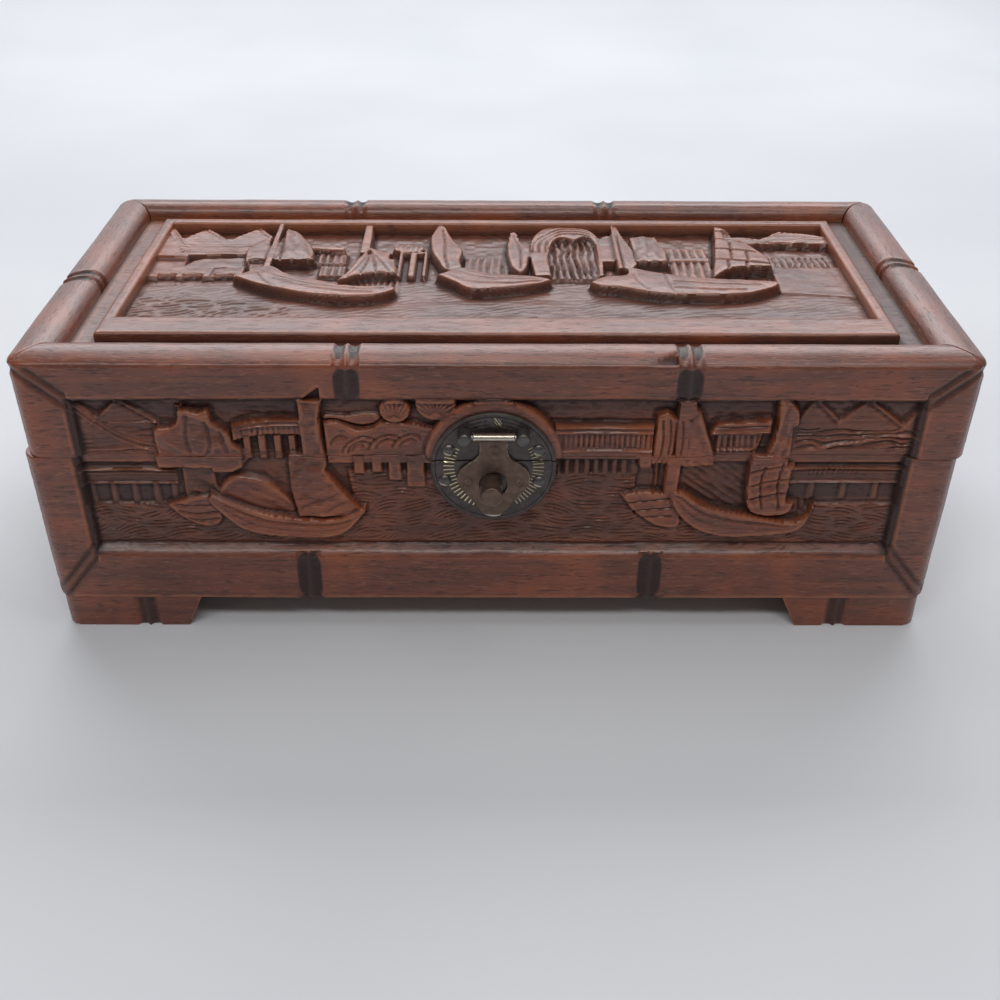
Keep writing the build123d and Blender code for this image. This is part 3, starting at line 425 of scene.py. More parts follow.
def front_scene(work):
    """The harbour carved across the front of the box, over the joint of lid and base."""
    work.rule(oblong(-134, 69, 134, 91), 0, 2.1, 0.16)
    work.water([(-134, 31), (-134, 51), (-92, 51), (-90, 47), (-46, 47), (-48, 63.5), (46, 62), (46, 47),
                (98, 44), (104, 51), (134, 51), (134, 31)], 1.5)
    # Far left: the shore, two mountains and a landing stage
    work.stand([(-135, 92), (-128, 86.5), (-120, 78.5), (-107, 73), (-106, 66.5), (-135, 66.5)], 1.7)
    work.rule([(-131, 77.5), (-120, 77), (-108, 73), (-108, 69.5), (-131, 69.5)], 2, 1.7, 0.6)
    peak(work, (-127, 80.5), (-117.5, 89.6), (-105.5, 80.8), 72.5, 1.4)
    work.rule([(-121, 80), (-107, 80), (-107, 74), (-116, 77)], 0, 1.9, 0.6)
    work.bead([(-121, 81.2), (-106.5, 81.2)], 0.6, 0.5)
    for step in (0.0, 2.0):
        work.bead(curved([(-135, 91 - step), (-121, 78.4 - step), (-113, 74.3 - step), (-107, 72.6 - step)]),
                  0.6, 0.5)
    pier(work, -134, -103, 62.4, 50.5, (-131.5, -124.5, -117.5, -110.5, -104.5))
    # A rocky stack with a fan of leaves above it
    rock = curved([(-106.5, 67), (-107.4, 79), (-102, 80.2), (-99.5, 82.6), (-98.6, 86.6), (-92.6, 85.8),
                   (-89.4, 86.4), (-88.5, 82), (-84, 78), (-83, 74), (-79, 70.5), (-79.5, 67)], 3)
    work.stand(rock, 3.5, crown=0.5)
    work.facets(rock, 5.0, 0.9, 7)
    for line in ([(-96.5, 84), (-97.4, 76), (-95.6, 69)], [(-91, 82), (-90, 75), (-91.4, 70)],
                 [(-86.6, 78), (-85, 71)]):
        work.cut(curved(line), 1.2, 0.6)
    work.bead(curved([(-103, 89), (-100.8, 90), (-98.2, 89.6), (-97.6, 87.8), (-99.2, 87.2)]), 1.1, 2.0)
    shelf = [(-108.5, 70), (-79.5, 70), (-80.8, 65.5), (-84, 63.6), (-92, 63.2), (-93.5, 65.2), (-108, 65)]
    work.stand(shelf, 3.3)
    work.facets(shelf, 4.4, 0.6, 9)
    cleft = [(-101, 65), (-91, 65), (-90, 56), (-93, 51), (-101, 51)]
    work.stand(cleft, 1.3)
    work.facets(cleft, 3.6, 0.6, 13)
    work.shade(cleft, 0.4)
    # The arched bridge
    work.stand(np.vstack([curved([(-83, 80.6), (-78, 82.3), (-70, 83.2), (-60, 83.2)]),
                          curved([(-60, 77.6), (-71, 77.6), (-80, 76.2), (-83, 75)])]), 2.9)
    work.rule([(-82, 79.5), (-60, 81.5), (-60, 78), (-82, 76)], 90, 1.7, 0.7, 0.2)
    for step in (0.0, 1.6, 5.2):
        work.bead(curved([(-82.5, 80.4 - step), (-78, 81.8 - step), (-70, 82.7 - step), (-60, 82.7 - step)]),
                  0.6, 0.6)
    work.shade([(-81, 67), (-60, 67), (-60, 77), (-81, 76)], 0.85)
    for x in (-78.8, -74, -69, -64.4):
        work.stand(oblong(x - 1.2, 68, x + 1.2, 77), 2.0)
    # The left junk: its mast and sail cross the joint, its hull lies on the water
    work.rule([(-60, 70), (-66, 47), (-92, 50), (-88, 61), (-72, 63)], -32, 2.4, 0.3)
    ruled(work, curved([(-91, 54), (-86, 60.5), (-79, 61.2), (-70, 56), (-66, 47), (-78, 48)]),
          2.3, -34, 3.4, 0.25, edge=2.2, tilt=(0.0, 0.10))
    battened_sail(work, [(-61.2, 66), (-61.3, 91), (-53.6, 91), (-55.2, 84), (-54.6, 76), (-53.8, 66)],
                  4.0, 62, 5.5)
    battened_sail(work, [(-66, 70.5), (-54, 70.5), (-54.5, 64), (-44, 49.5), (-47, 46.5), (-64.5, 46.5),
                         (-66.3, 58)], 3.9, 24, 4.2)
    work.bead(curved([(-54.4, 66), (-51.5, 60), (-47.6, 54), (-43.4, 49)]), 0.9, 0.7)
    work.stand(curved([(-107.5, 50.5), (-100, 53), (-93, 53.5), (-90, 47), (-92, 42.5), (-98, 42.6),
                       (-103.5, 46)]), 2.8)
    for z in (50.3, 47.3, 44.6):
        work.cut(curved([(-106.5 + (50 - z), z + 0.6), (-98, z - 0.4), (-91, z + 0.5)]), 0.7, 0.6)
    hull(work, [(-92.5, 55.2), (-80, 49.2), (-70, 46.6), (-56, 45.4), (-47, 47.2), (-42.5, 50.5)],
         [(-93.4, 53), (-89, 47), (-82, 41), (-70, 38.6), (-57, 38.2), (-49, 40.8), (-42.5, 48.5)], 4.2)
    # The bank with its curling turf and two round trees
    work.stand([(-53.6, 66.8), (-54, 81.6), (-50, 82), (-43.5, 79), (-38.5, 80), (-36, 82), (-26, 81.5),
                (-18, 79), (-18, 66.8)], 2.7)
    work.stand(curved([(-54, 82.6), (-50, 82.6), (-43, 80.6), (-38, 81.2), (-36, 83.6), (-40, 84.4),
                       (-47, 83.6), (-54, 84)]), 1.6)
    work.facets([(-53.6, 66.8), (-54, 81.6), (-43.5, 79), (-26, 81.5), (-18, 79), (-18, 66.8)], 5.4, 0.6, 15)
    for cx, cz, size in ((-43, 72, 5.6), (-43, 72, 3.6), (-43.4, 72.4, 1.7), (-35, 73, 5.2),
                         (-34.6, 73, 3.2), (-28, 73.5, 4.6), (-27.6, 73.5, 2.6), (-49.4, 74.6, 2.6)):
        turn = np.linspace(np.pi * 0.95, np.pi * 0.12, 9)
        curl = cz + size * (0.8 * np.sin(turn) + 0.3 * np.cos(turn))
        work.cut(np.column_stack([cx + size * np.cos(turn), curl]), 0.8, 0.6)
    for cx, cz, wide, tall in ((-31.3, 86.4, 4.9, 4.5), (-18.5, 88.4, 6.4, 5.6)):
        work.stand(oval(cx, cz, wide, tall, 25), 3.5, crown=0.8)
        for spread in np.radians(np.arange(-62, 63, 15.5)):
            foot = np.array([cx, cz - tall * 0.75])
            tip = foot + [wide * 1.25 * np.sin(spread), tall * 1.45 * np.cos(spread)]
            work.cut([foot * 0.75 + tip * 0.25, tip], 0.55, 0.5)
    work.shade([(-46, 58), (-22, 56), (-22, 68.8), (-46, 68.8)], 0.6)
    for x0, x1, low in ((-45.4, -42, 62.5), (-39.6, -36.4, 63), (-34.3, -30.2, 60), (-28.4, -22.6, 57.5)):
        work.stand(oblong(x0, low, x1, 70), 2.3, crown=0.3)
    # The long roofed wall right of the lock
    work.stand(oblong(19, 66, 50.2, 81), 2.8)
    for z in (80.2, 78.4, 71.6):
        work.bead([(19, z), (35, z + 0.4), (50, z)], 0.7, 0.7)
    work.rule(oblong(20, 72.5, 50, 78), 90, 1.65, 0.75, 0.25)
    ruled(work, oblong(20, 62, 46, 68.4), 1.6, 90, 3.1, 1.4, 0.3)
    work.shade(oblong(20, 61.6, 46.4, 68.8), 0.65)
    # The right junk: posts, two sails crossing the joint, a small boat and the long hull
    ruled(work, [(60, 66), (60, 82), (64, 87), (70.4, 69), (70.4, 66)], 3.1, -66, 3.6, 0.35, tilt=(-0.1, 0))
    work.stand([(50.3, 66.8), (51, 84.6), (54, 86), (57.2, 83.4), (56.7, 66.8)], 3.4, crown=0.6)
    work.stand([(57.2, 66.8), (57.2, 90.6), (62, 90.6), (63.8, 85.5), (60.8, 83.4), (60.6, 66.8)],
               4.0, crown=0.4)
    for x in (52.6, 55, 58.8):
        work.cut(curved([(x, 83), (x + 0.6, 76), (x, 67)]), 0.7, 0.7)
    work.rule([(61, 48), (61, 69), (82, 66), (83, 48)], -36, 2.5, 0.45)
    work.stand([(46.6, 65.3), (50, 65.3), (50, 70), (46.2, 70)], 3.2)
    work.stand([(55, 54), (59.2, 54.5), (60, 70), (55.2, 70)], 3.6, crown=0.5)
    work.rule([(49.6, 53), (55, 53), (55, 69), (50, 69)], 88, 1.9, 0.9)
    work.stand([(67.6, 78), (70, 82), (87, 83), (87, 78.6)], 3.3)
    work.bead([(68, 78.6), (86.6, 79)], 0.7, 0.5)
    work.cut([(69.5, 80.4), (86.6, 81)], 0.7, 0.6)
    work.stand([(70.5, 67), (70.5, 77.6), (85, 77.6), (82.6, 67)], 1.6)
    work.rule([(70.5, 70), (70.5, 77.4), (85, 77.4), (83, 70)], 90, 1.9, 0.7)
    work.bead([(70, 71.6), (82, 71.8)], 0.7, 0.9)
    battened_sail(work, curved([(85.8, 66.5), (88.6, 80), (88.2, 90.6), (90.6, 90.6), (94.6, 87), (95.4, 78),
                                (95, 66.5)]), 4.1, 78, 3.4)
    battened_sail(work, curved([(82.2, 70.5), (81.8, 60), (84, 48.6), (95.4, 48), (98.6, 55), (97, 63),
                                (95.6, 70.5)]), 4.0, 14, 4.4)
    for line in ([(82.2, 63.6), (89, 66), (96.6, 67.6)], [(82.4, 58.4), (89, 60.6), (97.4, 62.2)],
                 [(83.4, 53.4), (90, 55.4), (98, 56.4)], [(86.8, 66), (86.2, 58.8), (87.4, 50)],
                 [(92.4, 67.6), (91.6, 60), (93, 50)]):
        work.cut(curved(line), 0.75, 0.7)
    for x in (97, 99.4, 101.8):
        work.cut([(x - 1.2, 60.5), (x + 1.6, 47.6)], 0.7, 0.6)
    work.stand(curved([(41.4, 54.6), (48.5, 56), (57, 54.4), (60, 50), (61, 42.6), (55, 42.2), (50, 44.8),
                       (45, 49)]), 3.0)
    for share in (0.0, 3.2, 6.0):
        work.cut([(43.5 + share * 0.7, 51.6 - share), (58, 53.4 - share * 1.15)], 0.7, 0.7)
    hull(work, [(57.4, 56.6), (61.5, 56.2), (66, 53), (71, 50.4), (78, 48.6), (86, 46.8), (98, 44.6),
                (103, 47.4), (104.8, 52)],
         [(56.8, 55.6), (59.4, 49.6), (63.4, 44.4), (70, 40.4), (80, 38.8), (96, 40.2), (102, 43),
          (104.8, 50)], 4.2)
    # Far right: two more mountains, broken ground and a landing stage
    work.stand([(94, 66.8), (94, 80.6), (108, 82), (128, 81), (135, 77), (135, 66.8)], 1.6)
    peak(work, (94.5, 80), (100, 90.4), (109, 81.4), 76, 1.3)
    peak(work, (108, 81.2), (116.8, 89.8), (128.6, 80.8), 76, 1.5)
    work.stand([(128.6, 80.4), (134, 88.8), (136, 89), (136, 72), (128.6, 72)], 1.8, 1.4)
    work.rule([(95, 71.5), (134, 71.5), (134, 80), (95, 79.5)], 4, 1.9, 0.85, 1.6)
    work.bead(curved([(99, 71.4), (112, 74), (124, 76.4), (134, 76.6)]), 0.8, 0.5)
    pier(work, 95.4, 132, 63.4, 52.5, (103.4, 114, 124.6))
    work.rule(oblong(101, 61.4, 118, 65.6), 90, 1.5, 0.5)


def end_scene(work):
    """A smaller harbour for each end of the box: one junk under two mountains."""
    work.rule(oblong(-54, 69, 54, 91), 0, 2.2, 0.28)
    work.water([(-55, 31), (-55, 52), (55, 52), (55, 31)], 1.5)
    work.stand([(-55, 66), (-55, 79), (-34, 75), (-26, 72), (-26, 66)], 2.0)
    peak(work, (-53, 78.5), (-44, 89.4), (-31, 77.6), 71, 1.5)
    peak(work, (27, 79), (39, 89.6), (51, 78), 71, 1.5)
    work.stand([(24, 66), (24, 78), (55, 80), (55, 66)], 1.9)
    work.rule([(25, 69.5), (53, 69.5), (53, 78.6), (25, 77)], 3, 1.9, 0.7, 1.0)
    work.rule([(-53, 69.5), (-27, 69.5), (-27, 72), (-53, 77)], -3, 1.9, 0.7, 1.0)
    pier(work, -53, -29, 62.4, 51.5, (-49.5, -42, -34.5))
    pier(work, 31, 53, 62.8, 51.5, (35.5, 43, 50.5))
    battened_sail(work, curved([(-13, 66), (-12, 80), (-7.4, 91), (-4.6, 91), (-3.6, 80), (-3.2, 66)]),
                  4.0, 70)
    battened_sail(work, curved([(3.4, 66), (4, 80), (8, 88.6), (12, 86.5), (15.4, 76), (15, 66)]),
                  3.7, 16, 4.0)
    battened_sail(work, curved([(-14, 70.5), (-15, 58), (-12, 48.6), (-3.4, 48.4), (-3, 60), (-3.2, 70.5)]),
                  3.9, 12, 4.2)
    battened_sail(work, curved([(3, 70.5), (2.6, 58), (4.6, 48.8), (16.6, 49), (18.6, 58), (15, 70.5)]),
                  3.8, 14, 4.2)
    hull(work, [(-29, 54), (-20, 49), (-8, 46.4), (8, 46), (20, 48.6), (28.6, 54.6)],
         [(-29.6, 52.4), (-24, 44.6), (-12, 39.6), (6, 39), (20, 42.4), (28.6, 53)], 4.2)


def gouge_marks(work):
    """The back's shallow ground, only levelled with a wide gouge."""
    across, up = work.across, work.up
    stroke, row = 9.0, 4.2
    sway = across + 3.1 * np.round(up / row) + 2.0 * drift(across, up, 14.0, 61)
    work.height -= 0.22 * np.abs(np.sin(np.pi * sway / stroke)) ** 0.7 + 0.12 * np.cos(2 * np.pi * up / row)


SCENES = {"front": front_scene, "back": gouge_marks, "left": end_scene, "right": end_scene}
NODE_SCOOP, NODE_DEPTH, NODE_STEP = 2.5, 0.9, 4.4    # radius, depth and distance of a node's two scoops
FACE_OVAL = 4.3                          # half the width of the dark oval on the face
RAIL_OVAL, RAIL_OVAL_IN = 1.9, 4.8       # half the width and length of the pair over the rail


def bamboo_node(from_node, up, inward, low, high):
    """How deep a node's two scoops are, and its dark ovals: one on the face, a pair over the rail."""
    cut = np.zeros_like(from_node)
    for step in (-0.5, 0.5):
        from_middle = from_node - step * NODE_STEP
        round_cut = np.sqrt(np.clip(NODE_SCOOP ** 2 - from_middle ** 2, 0, None))
        cut = np.maximum(cut, round_cut - NODE_SCOOP + NODE_DEPTH)
    size = np.abs(from_node)
    face = 1 - (size / FACE_OVAL) ** 3 - (np.abs(up - (low + high) / 2) / ((high - low) / 2)) ** 4
    over = 1 - ((size - NODE_STEP / 2) / RAIL_OVAL) ** 2 - ((inward - BOARD / 2 - 0.4) / RAIL_OVAL_IN) ** 2
    return cut, ease(np.where(inward < 0.05, face, over) / 0.3)


def spaced(marks, steps):
    """Places from the first mark to the last, about one step apart between each two marks."""
    runs = [np.linspace(a, b, max(int(round((b - a) / s)), 1) + 1)[:-1]
            for a, b, s in zip(marks[:-1], marks[1:], steps)]
    return np.concatenate(runs + [[marks[-1]]])


def mesh_values(mesh, kind):
    """The places ("co") or the outward directions ("normal") of a mesh's points."""
    values = np.zeros(len(mesh.vertices) * 3)
    mesh.vertices.foreach_get(kind, values)
    return values.reshape(-1, 3)


def mark_points(mesh, name, values):
    mark = mesh.attributes.new(name, "FLOAT", "POINT")
    mark.data.foreach_set("value", values.astype(np.float32))


def mark_wear(mesh, passes, scale, worn):
    """Marks each point as a hollow or a worn edge, by how it stands to its softened surroundings."""
    count = len(mesh.vertices)
    place = mesh_values(mesh, "co") * 1000
    edges = np.zeros(len(mesh.edges) * 2, int)
    mesh.edges.foreach_get("vertices", edges)
    a, b = edges[0::2], edges[1::2]
    shares = np.bincount(a, minlength=count) + np.bincount(b, minlength=count) + 1.0
    soft = place.copy()
    for _ in range(passes):
        soft = np.stack([(soft[:, k] + np.bincount(a, soft[b, k], count) + np.bincount(b, soft[a, k], count))
                         / shares for k in range(3)], 1)
    proud = ((place - soft) * mesh_values(mesh, "normal")).sum(1) / scale
    mark_points(mesh, "edge", np.clip((proud - 0.2) / 0.8, 0, 1) * worn)
    mark_points(mesh, "hollow", np.clip((-proud - 0.1) / 0.9, 0, 1))


def set_down(name, points, faces, materials, body, node, stain_shade_and_shine, passes=10, scale=0.22, sharp=60,
             worn=1.0):
    """Makes one piece from points in millimetres, and hands it to its body in a CAD node's place.

    The stain and painted light of each point come as one mark: on wood how dark it is stained and painted in
    shade, on brass how far it is rubbed bright and painted with highlights. The mark may leave out the last
    points, which get none.
    """
    mesh = bpy.data.meshes.new(name)
    mesh.from_pydata((np.asarray(points) / 1000).tolist(), [], faces)
    mesh.validate()
    piece = bpy.data.objects.new(name, mesh)
    bpy.context.scene.collection.objects.link(piece)
    for material in materials:
        mesh.materials.append(material)
    mesh.shade_smooth()
    mesh.set_sharp_from_angle(angle=np.radians(sharp))
    mark_points(mesh, "stain_shade_and_shine", np.concatenate([np.ravel(stain_shade_and_shine), np.zeros(len(points) - np.size(stain_shade_and_shine))]))
    mark_wear(mesh, passes, scale, worn)
    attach(piece, body)
    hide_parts(node)
    return piece


def on_wall(side, centre, along, inward, up):
    """Places on a wall as points of the whole box."""
    spot = {"front": (centre + along, FACE + inward), "back": (centre - along, REAR - inward),
            "right": (centre + LENGTH / 2 - inward, MIDDLE + along),
            "left": (centre - LENGTH / 2 + inward, MIDDLE - along)}[side]
    return np.stack([spot[0], spot[1], up], -1)


SEAT_STEP = 0.02         # how steeply a back board's edge drops into a hinge's seat
END_RUB, RUB_WIDTH = 0.22, 0.35  # how far a board's mitred ends are rubbed down, and how far in


def wall_board(part, side, centre, outline_of, sinking, bamboo):
    """One mitred board: its outline swept along the wall, its outer rows sunk and carved.

    outline_of gives the outline's rows on a side: inward and height, their outward ways, and which
    are on the outer side. sinking gives how deep each outer point lies below them, and bamboo the
    places of the nodes. Over the hinges, a back board's seated outline takes the other's place.
    """
    outline, ways, outer = outline_of(side)
    run = RUNS[side] / 2
    bend = run - STILE + 1.5
    seats = [(centre - stop, centre - start) for start, stop in hinge_seats] if side == "back" else []
    cuts = sorted(x for start, stop in seats for x in (start - SEAT_STEP, start, stop, stop + SEAT_STEP))
    marks = [-run, -run + 2, -bend, *cuts, bend, run - 2, run]
    columns = spaced(marks, [0.35, COARSE] + [FINE[side]] * (len(cuts) + 1) + [COARSE, 0.35])
    shape = np.repeat(outline[None], len(columns), 0)
    for start, stop in seats:
        over_seat = (columns > start - SEAT_STEP / 2) & (columns < stop + SEAT_STEP / 2)
        shape[over_seat] = outline_of(side, True)[0]
    inward, up = shape[..., 0], shape[..., 1]
    softened = np.clip(CORNER - outline[:, 0], 0, None)
    end = run - inward - softened * (1 - np.sqrt(0.5)) - MITRE_CRACK
    size = np.abs(columns)[:, None]
    along = np.where(size > bend, bend + (size - bend) * (end - bend) / (run - bend), size)
    along = along * np.sign(columns)[:, None]
    past = np.clip(np.abs(along) - (run - CORNER), 0, None)
    corner = softened - np.sqrt(np.clip(softened ** 2 - np.minimum(past, softened) ** 2, 0, None))
    sunk, shade_and_stain = sinking(along, up, inward)
    sunk = np.where(outer, sunk + END_RUB * np.exp(-(run - size) / RUB_WIDTH), 0.0)
    by_node = np.min([np.abs(along - node) for node in bamboo], 0) < NODE_STEP + 1.2
    rubbed = np.where(np.abs(up - SEAM) < 1.2, 0.35, 1.0)
    worn = (ways[:, 1] < 0.01) * np.where(by_node & (sunk < 1.2), 0.0, rubbed)
    away = inward + corner - ways[:, 0] * sunk
    height = up - ways[:, 1] * sunk
    rows, count = len(outline), len(columns)
    points = on_wall(side, centre, along, away, height).reshape(-1, 3)
    index = np.arange(rows * count).reshape(count, rows)
    following = np.roll(index, -1, axis=1)
    quads = np.stack([index[:-1], index[1:], following[1:], following[:-1]], -1)
    faces = quads.reshape(-1, 4).tolist() + [index[0].tolist(), index[-1][::-1].tolist()]
    work = "levelled" if side == "back" else "carved"
    piece = set_down(f"{work}_{part}_{side}", points, faces, [wood_along[side], inside_along[side]], part,
                     f"{part}_{side}", shade_and_stain * outer, worn=worn.ravel())
    bare = (outline[:, 0] >= BOARD - 0.01) & (outline[:, 1] < BARE_BELOW)
    inner = np.tile((bare & np.roll(bare, -1)).astype(int), count - 1)
    piece.data.polygons.foreach_set("material_index", np.concatenate([inner, [0, 0]]))


def frame_wall(gap, depth, rounded, width):
    """How deep the sunk panel is at a distance inside its opening: a rounded edge, then a steep wall."""
    return depth * np.clip((gap + rounded) / width, 0, 1) ** 2.1


MARK_DEPTH, MARK_APART = 0.6, 3.2    # the two cuts across each corner
UNDER_FRAME = 0.22       # the tallest figures stay this far below the frame
SHELTER = 4              # how many points away a taller carving casts painted shade into a hollow


def mitre_marks(along, up, run, corner_up, opening_up):
    """Two cuts across each corner of the frame, like bamboo laid over bamboo, and a darker band along them.
    """
    cut = np.zeros_like(along)
    corner, opening = run - 1.0, run - STILE + 0.4
    slope = (opening_up - corner_up) / (corner - opening)
    off = (up - corner_up + slope * (np.abs(along) - corner)) / np.hypot(1, slope)
    inside = (np.abs(along) > opening - 1.0) * ease((CROWN - 2.6 - up) / 2.0)
    for shift in (-MARK_APART / 2, MARK_APART / 2):
        cut = np.maximum(cut, MARK_DEPTH * ease(1 - np.abs(off - shift) / 1.6) * inside)
    return cut, 0.5 * ease((4.2 - np.abs(off)) / 2.0) * inside


def sink_board(side, centre, bamboo, panel, face, mitre, boss=None, chipped=None):
    """The outer side of a board as a function of place: sunk panel, carving, nodes and mitre cuts, with the
    nodes' dark stain and painted shadow and shade in the carving.

    panel and face are the lower and upper edge of the sunk panel and of the plain frame, mitre the
    heights of the mitre cuts' outer and inner ends, boss the centre and radius of the round ground
    left for the lock, and chipped adds damage.
    """
    low, high = panel
    run = RUNS[side] / 2
    deep = BACK_SUNK if side == "back" else CARVED
    # how dark the painted shadow under the frame is, fainter on the shallow back
    painted_shadow_strength = 0.4 if side == "back" else 1.0

    def sinking(along, up, inward):
        wave = 0.35 * drift(along, np.zeros_like(along), 21.0, 77)
        walls = np.minimum(run - STILE - np.abs(along), high - up + wave)
        gap = np.minimum(walls, up - low)
        ledge = frame_wall(up - low + wave, deep, 2.6, 4.8)
        ground = np.minimum(frame_wall(walls, deep, 1.7, 3.1), ledge)
        work = Carving(along + (centre if side == "front" else 0), up)
        SCENES[side](work)
        if boss:
            near, edge = work.reach(oval(boss[0], boss[1], boss[2], boss[2], 72), True, 1.5)
            share = ease((0.3 - edge) / 0.5)
            rounded = deep + 0.02 - 1.1 * np.exp(np.minimum(edge, 0) / 1.1)
            work.height[near] = work.height[near] * (1 - share) + rounded * share
            work.shade_and_stain[near] *= 1 - share
        fade = ease((up - low - 0.9) / 3.4) * ease((run - STILE - np.abs(along) + 0.3) / 1.4)
        figures = work.height * (gap > -0.4) * fade * deep / CARVED
        below_frame = np.minimum(ground, UNDER_FRAME)
        if boss:
            below_frame = below_frame * (np.hypot(along + centre - boss[0], up - boss[1]) > boss[2] + 0.6)
        sunk = np.maximum(ground - figures, below_frame)
        # painted shadow under the frame's upper wall and along its ends, and painted shade on low ground and
        # beside taller figures; the nodes' dark ovals below are real stain
        shadow = ease((3.8 - walls) / 2.8) * ease((gap + 1.0) / 0.7) * ease((2.9 - work.height) / 1.2)
        painted_recess_shade = np.maximum(0.5 * ease((2.3 - work.height) / 1.5), 0.85 * sheltered(work.height, SHELTER))
        painted_recess_shade = painted_recess_shade * ease((up - low - 1.2) / 2.0) * (gap > 0)
        shade_and_stain = np.max([work.shade_and_stain * (gap > 0), painted_recess_shade, shadow * painted_shadow_strength], 0)
        grain = 0.05 * drift(along / 6, up, 1.6, 71) + 0.10 * drift(along, up, 16.0, 73)
        outside = gap < -0.2
        marks, marks_darkening = mitre_marks(along, up, run, *mitre)
        sunk = sunk + outside * (np.clip(grain, -0.05, 1) + 0.06 + marks)
        shade_and_stain = np.maximum(shade_and_stain, outside * marks_darkening)
        for node in bamboo:
            cut, dark = bamboo_node(along - node, up, inward, *face)
            sunk = sunk + outside * cut
            shade_and_stain = np.maximum(shade_and_stain, outside * dark)
        if chipped:
            sunk, shade_and_stain = chipped(along + centre, up, inward, sunk, shade_and_stain)
        return sunk, shade_and_stain

    return sinking


def arc(centre, radius, start, stop, count):
    """Points of a round edge in inward and height, with their outward directions."""
    turn = np.radians(np.linspace(start, stop, count))
    way = np.column_stack([np.cos(turn), np.sin(turn)])
    return np.array(centre) + radius * way, way


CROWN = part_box("lid_front")[1].z * 1000
RAIL_LOW = CROWN - 14.9
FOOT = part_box("foot_front_left")[1].z * 1000
PANEL_LOW = FOOT + 19.0
BARE_BELOW = 99.0        # above this the lid's inside is stained
PAST_JOINT = 200.0       # a base board's sunk panel has no upper edge
SOFT, JOINT_SOFT = 0.7, 0.35     # how far the lower edges are rubbed round, and those at the joint
LOCK_X = (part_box("hasp")[0].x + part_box("hasp")[1].x) * 500
PLATE_Z, PLATE_R = 67.2, 20.0
BASE_NODES = {"front": (-62.1, 53.3), "back": (-53.3, 62.1), "left": (0.0,), "right": (0.0,)}


def rows_of(*stretches):
    """Joins stretches of an outline, each its points and outward ways, or no ways where never cut."""
    points = np.vstack([points for points, ways in stretches])
    ways = np.vstack([np.zeros((len(points), 2)) if ways is None else ways for points, ways in stretches])
    return points, ways, np.hypot(*ways.T) > 0.5


def upright(marks, steps):
    """The rows of a flat outer face, spaced between its marks."""
    face = spaced(marks, steps)[1:-1]
    return np.column_stack([np.zeros_like(face), face]), np.tile([-1.0, 0.0], (len(face), 1))


def joint_arc(up, start, stop):
    """The rubbed edge at the joint, whose points sink straight inward with the carving."""
    points = arc((JOINT_SOFT, up), JOINT_SOFT, start, stop, 3)[0]
    return points, np.tile([-1.0, 0.0], (len(points), 1))


# The back boards' meeting edges are bevelled behind the pins and hollowed out for the hinges
PIN_IN, KNUCKLE_ROOM, LEAF, SEAT_IN = 2.6, 2.5, 1.2, 12.2
BEVEL_RISE = PIN_IN * np.tan(np.radians(53.5))       # the bevels meet with the lid 107 degrees open
PARTING = 0.05           # what each board keeps off the joint beside the pin, so that the lid swings free
hinge_seats = [tuple(corner.x * 1000 + grow for corner, grow in zip(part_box(leaf), (-0.1, 0.1)))
               for leaf in ("hinge_base_leaf_left", "hinge_base_leaf_right")]


def hinge_edge(seated, below):
    """From the bevel's foot to the inside: the edge of a back board, below the joint or above it."""
    slant = np.array([PIN_IN, BEVEL_RISE]) / np.hypot(PIN_IN, BEVEL_RISE)
    first = np.degrees(np.arctan2(-slant[1], -slant[0])) % 360
    last = np.degrees(np.arctan2(-LEAF, np.sqrt(KNUCKLE_ROOM ** 2 - LEAF ** 2))) % 360
    hollow = arc((PIN_IN, 0), KNUCKLE_ROOM, first, last, 8)[0]
    if not seated:
        hollow[1:] = np.column_stack([np.linspace(PIN_IN + 0.03, hollow[-1][0], 7), np.full(7, -PARTING)])
    inner = [(SEAT_IN, -LEAF if seated else 0), (SEAT_IN + SEAT_STEP, 0), (BOARD, 0)]
    edge = np.vstack([[(0, -BEVEL_RISE)], hollow, inner])
    edge[:, 1] = SEAM + edge[:, 1] * (1 if below else -1)
    return edge if below else edge[::-1]


def base_rows(side, seated=False):
    """A base board's outline from its lower edge up the outer side, over the joint and down inside."""
    lower_edge = arc((SOFT, FOOT + SOFT), SOFT, 270, 180, 4)
    inside = ([(BOARD, SEAM - 12), (BOARD, FOOT + 20), (BOARD, FOOT)], None)
    if side == "back":
        return rows_of(lower_edge, upright([FOOT + SOFT, SEAM - BEVEL_RISE], [FINE[side]]),
                       (hinge_edge(seated, True), None), inside)
    return rows_of(lower_edge,
                   upright([FOOT + SOFT, PANEL_LOW - 2.4, SEAM - JOINT_SOFT], [COARSE, FINE[side]]),
                   joint_arc(SEAM - JOINT_SOFT, 180, 90), ([(BOARD, SEAM)], None), inside)


def finish_node(node, material):
    """Gives a piece that keeps its CAD mesh its own finish."""
    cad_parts[node].data.materials.clear()
    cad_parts[node].data.materials.append(material)


for side in ("front", "left", "right", "back"):
    boss = (LOCK_X, PLATE_Z, PLATE_R) if side == "front" else None
    sinking = sink_board(side, BASE_X, BASE_NODES[side], (PANEL_LOW, PAST_JOINT), (FOOT, PANEL_LOW),
                         (FOOT, PANEL_LOW), boss)
    wall_board("base", side, BASE_X, base_rows, sinking, BASE_NODES[side])
finish_node("base_bottom", inside_along["front"])


# The feet. Four bracket feet of the same wood, each two short lengths mitred under a corner, cut
# away towards the middle of the box and scooped like a bamboo node. They are glued and pegged on.

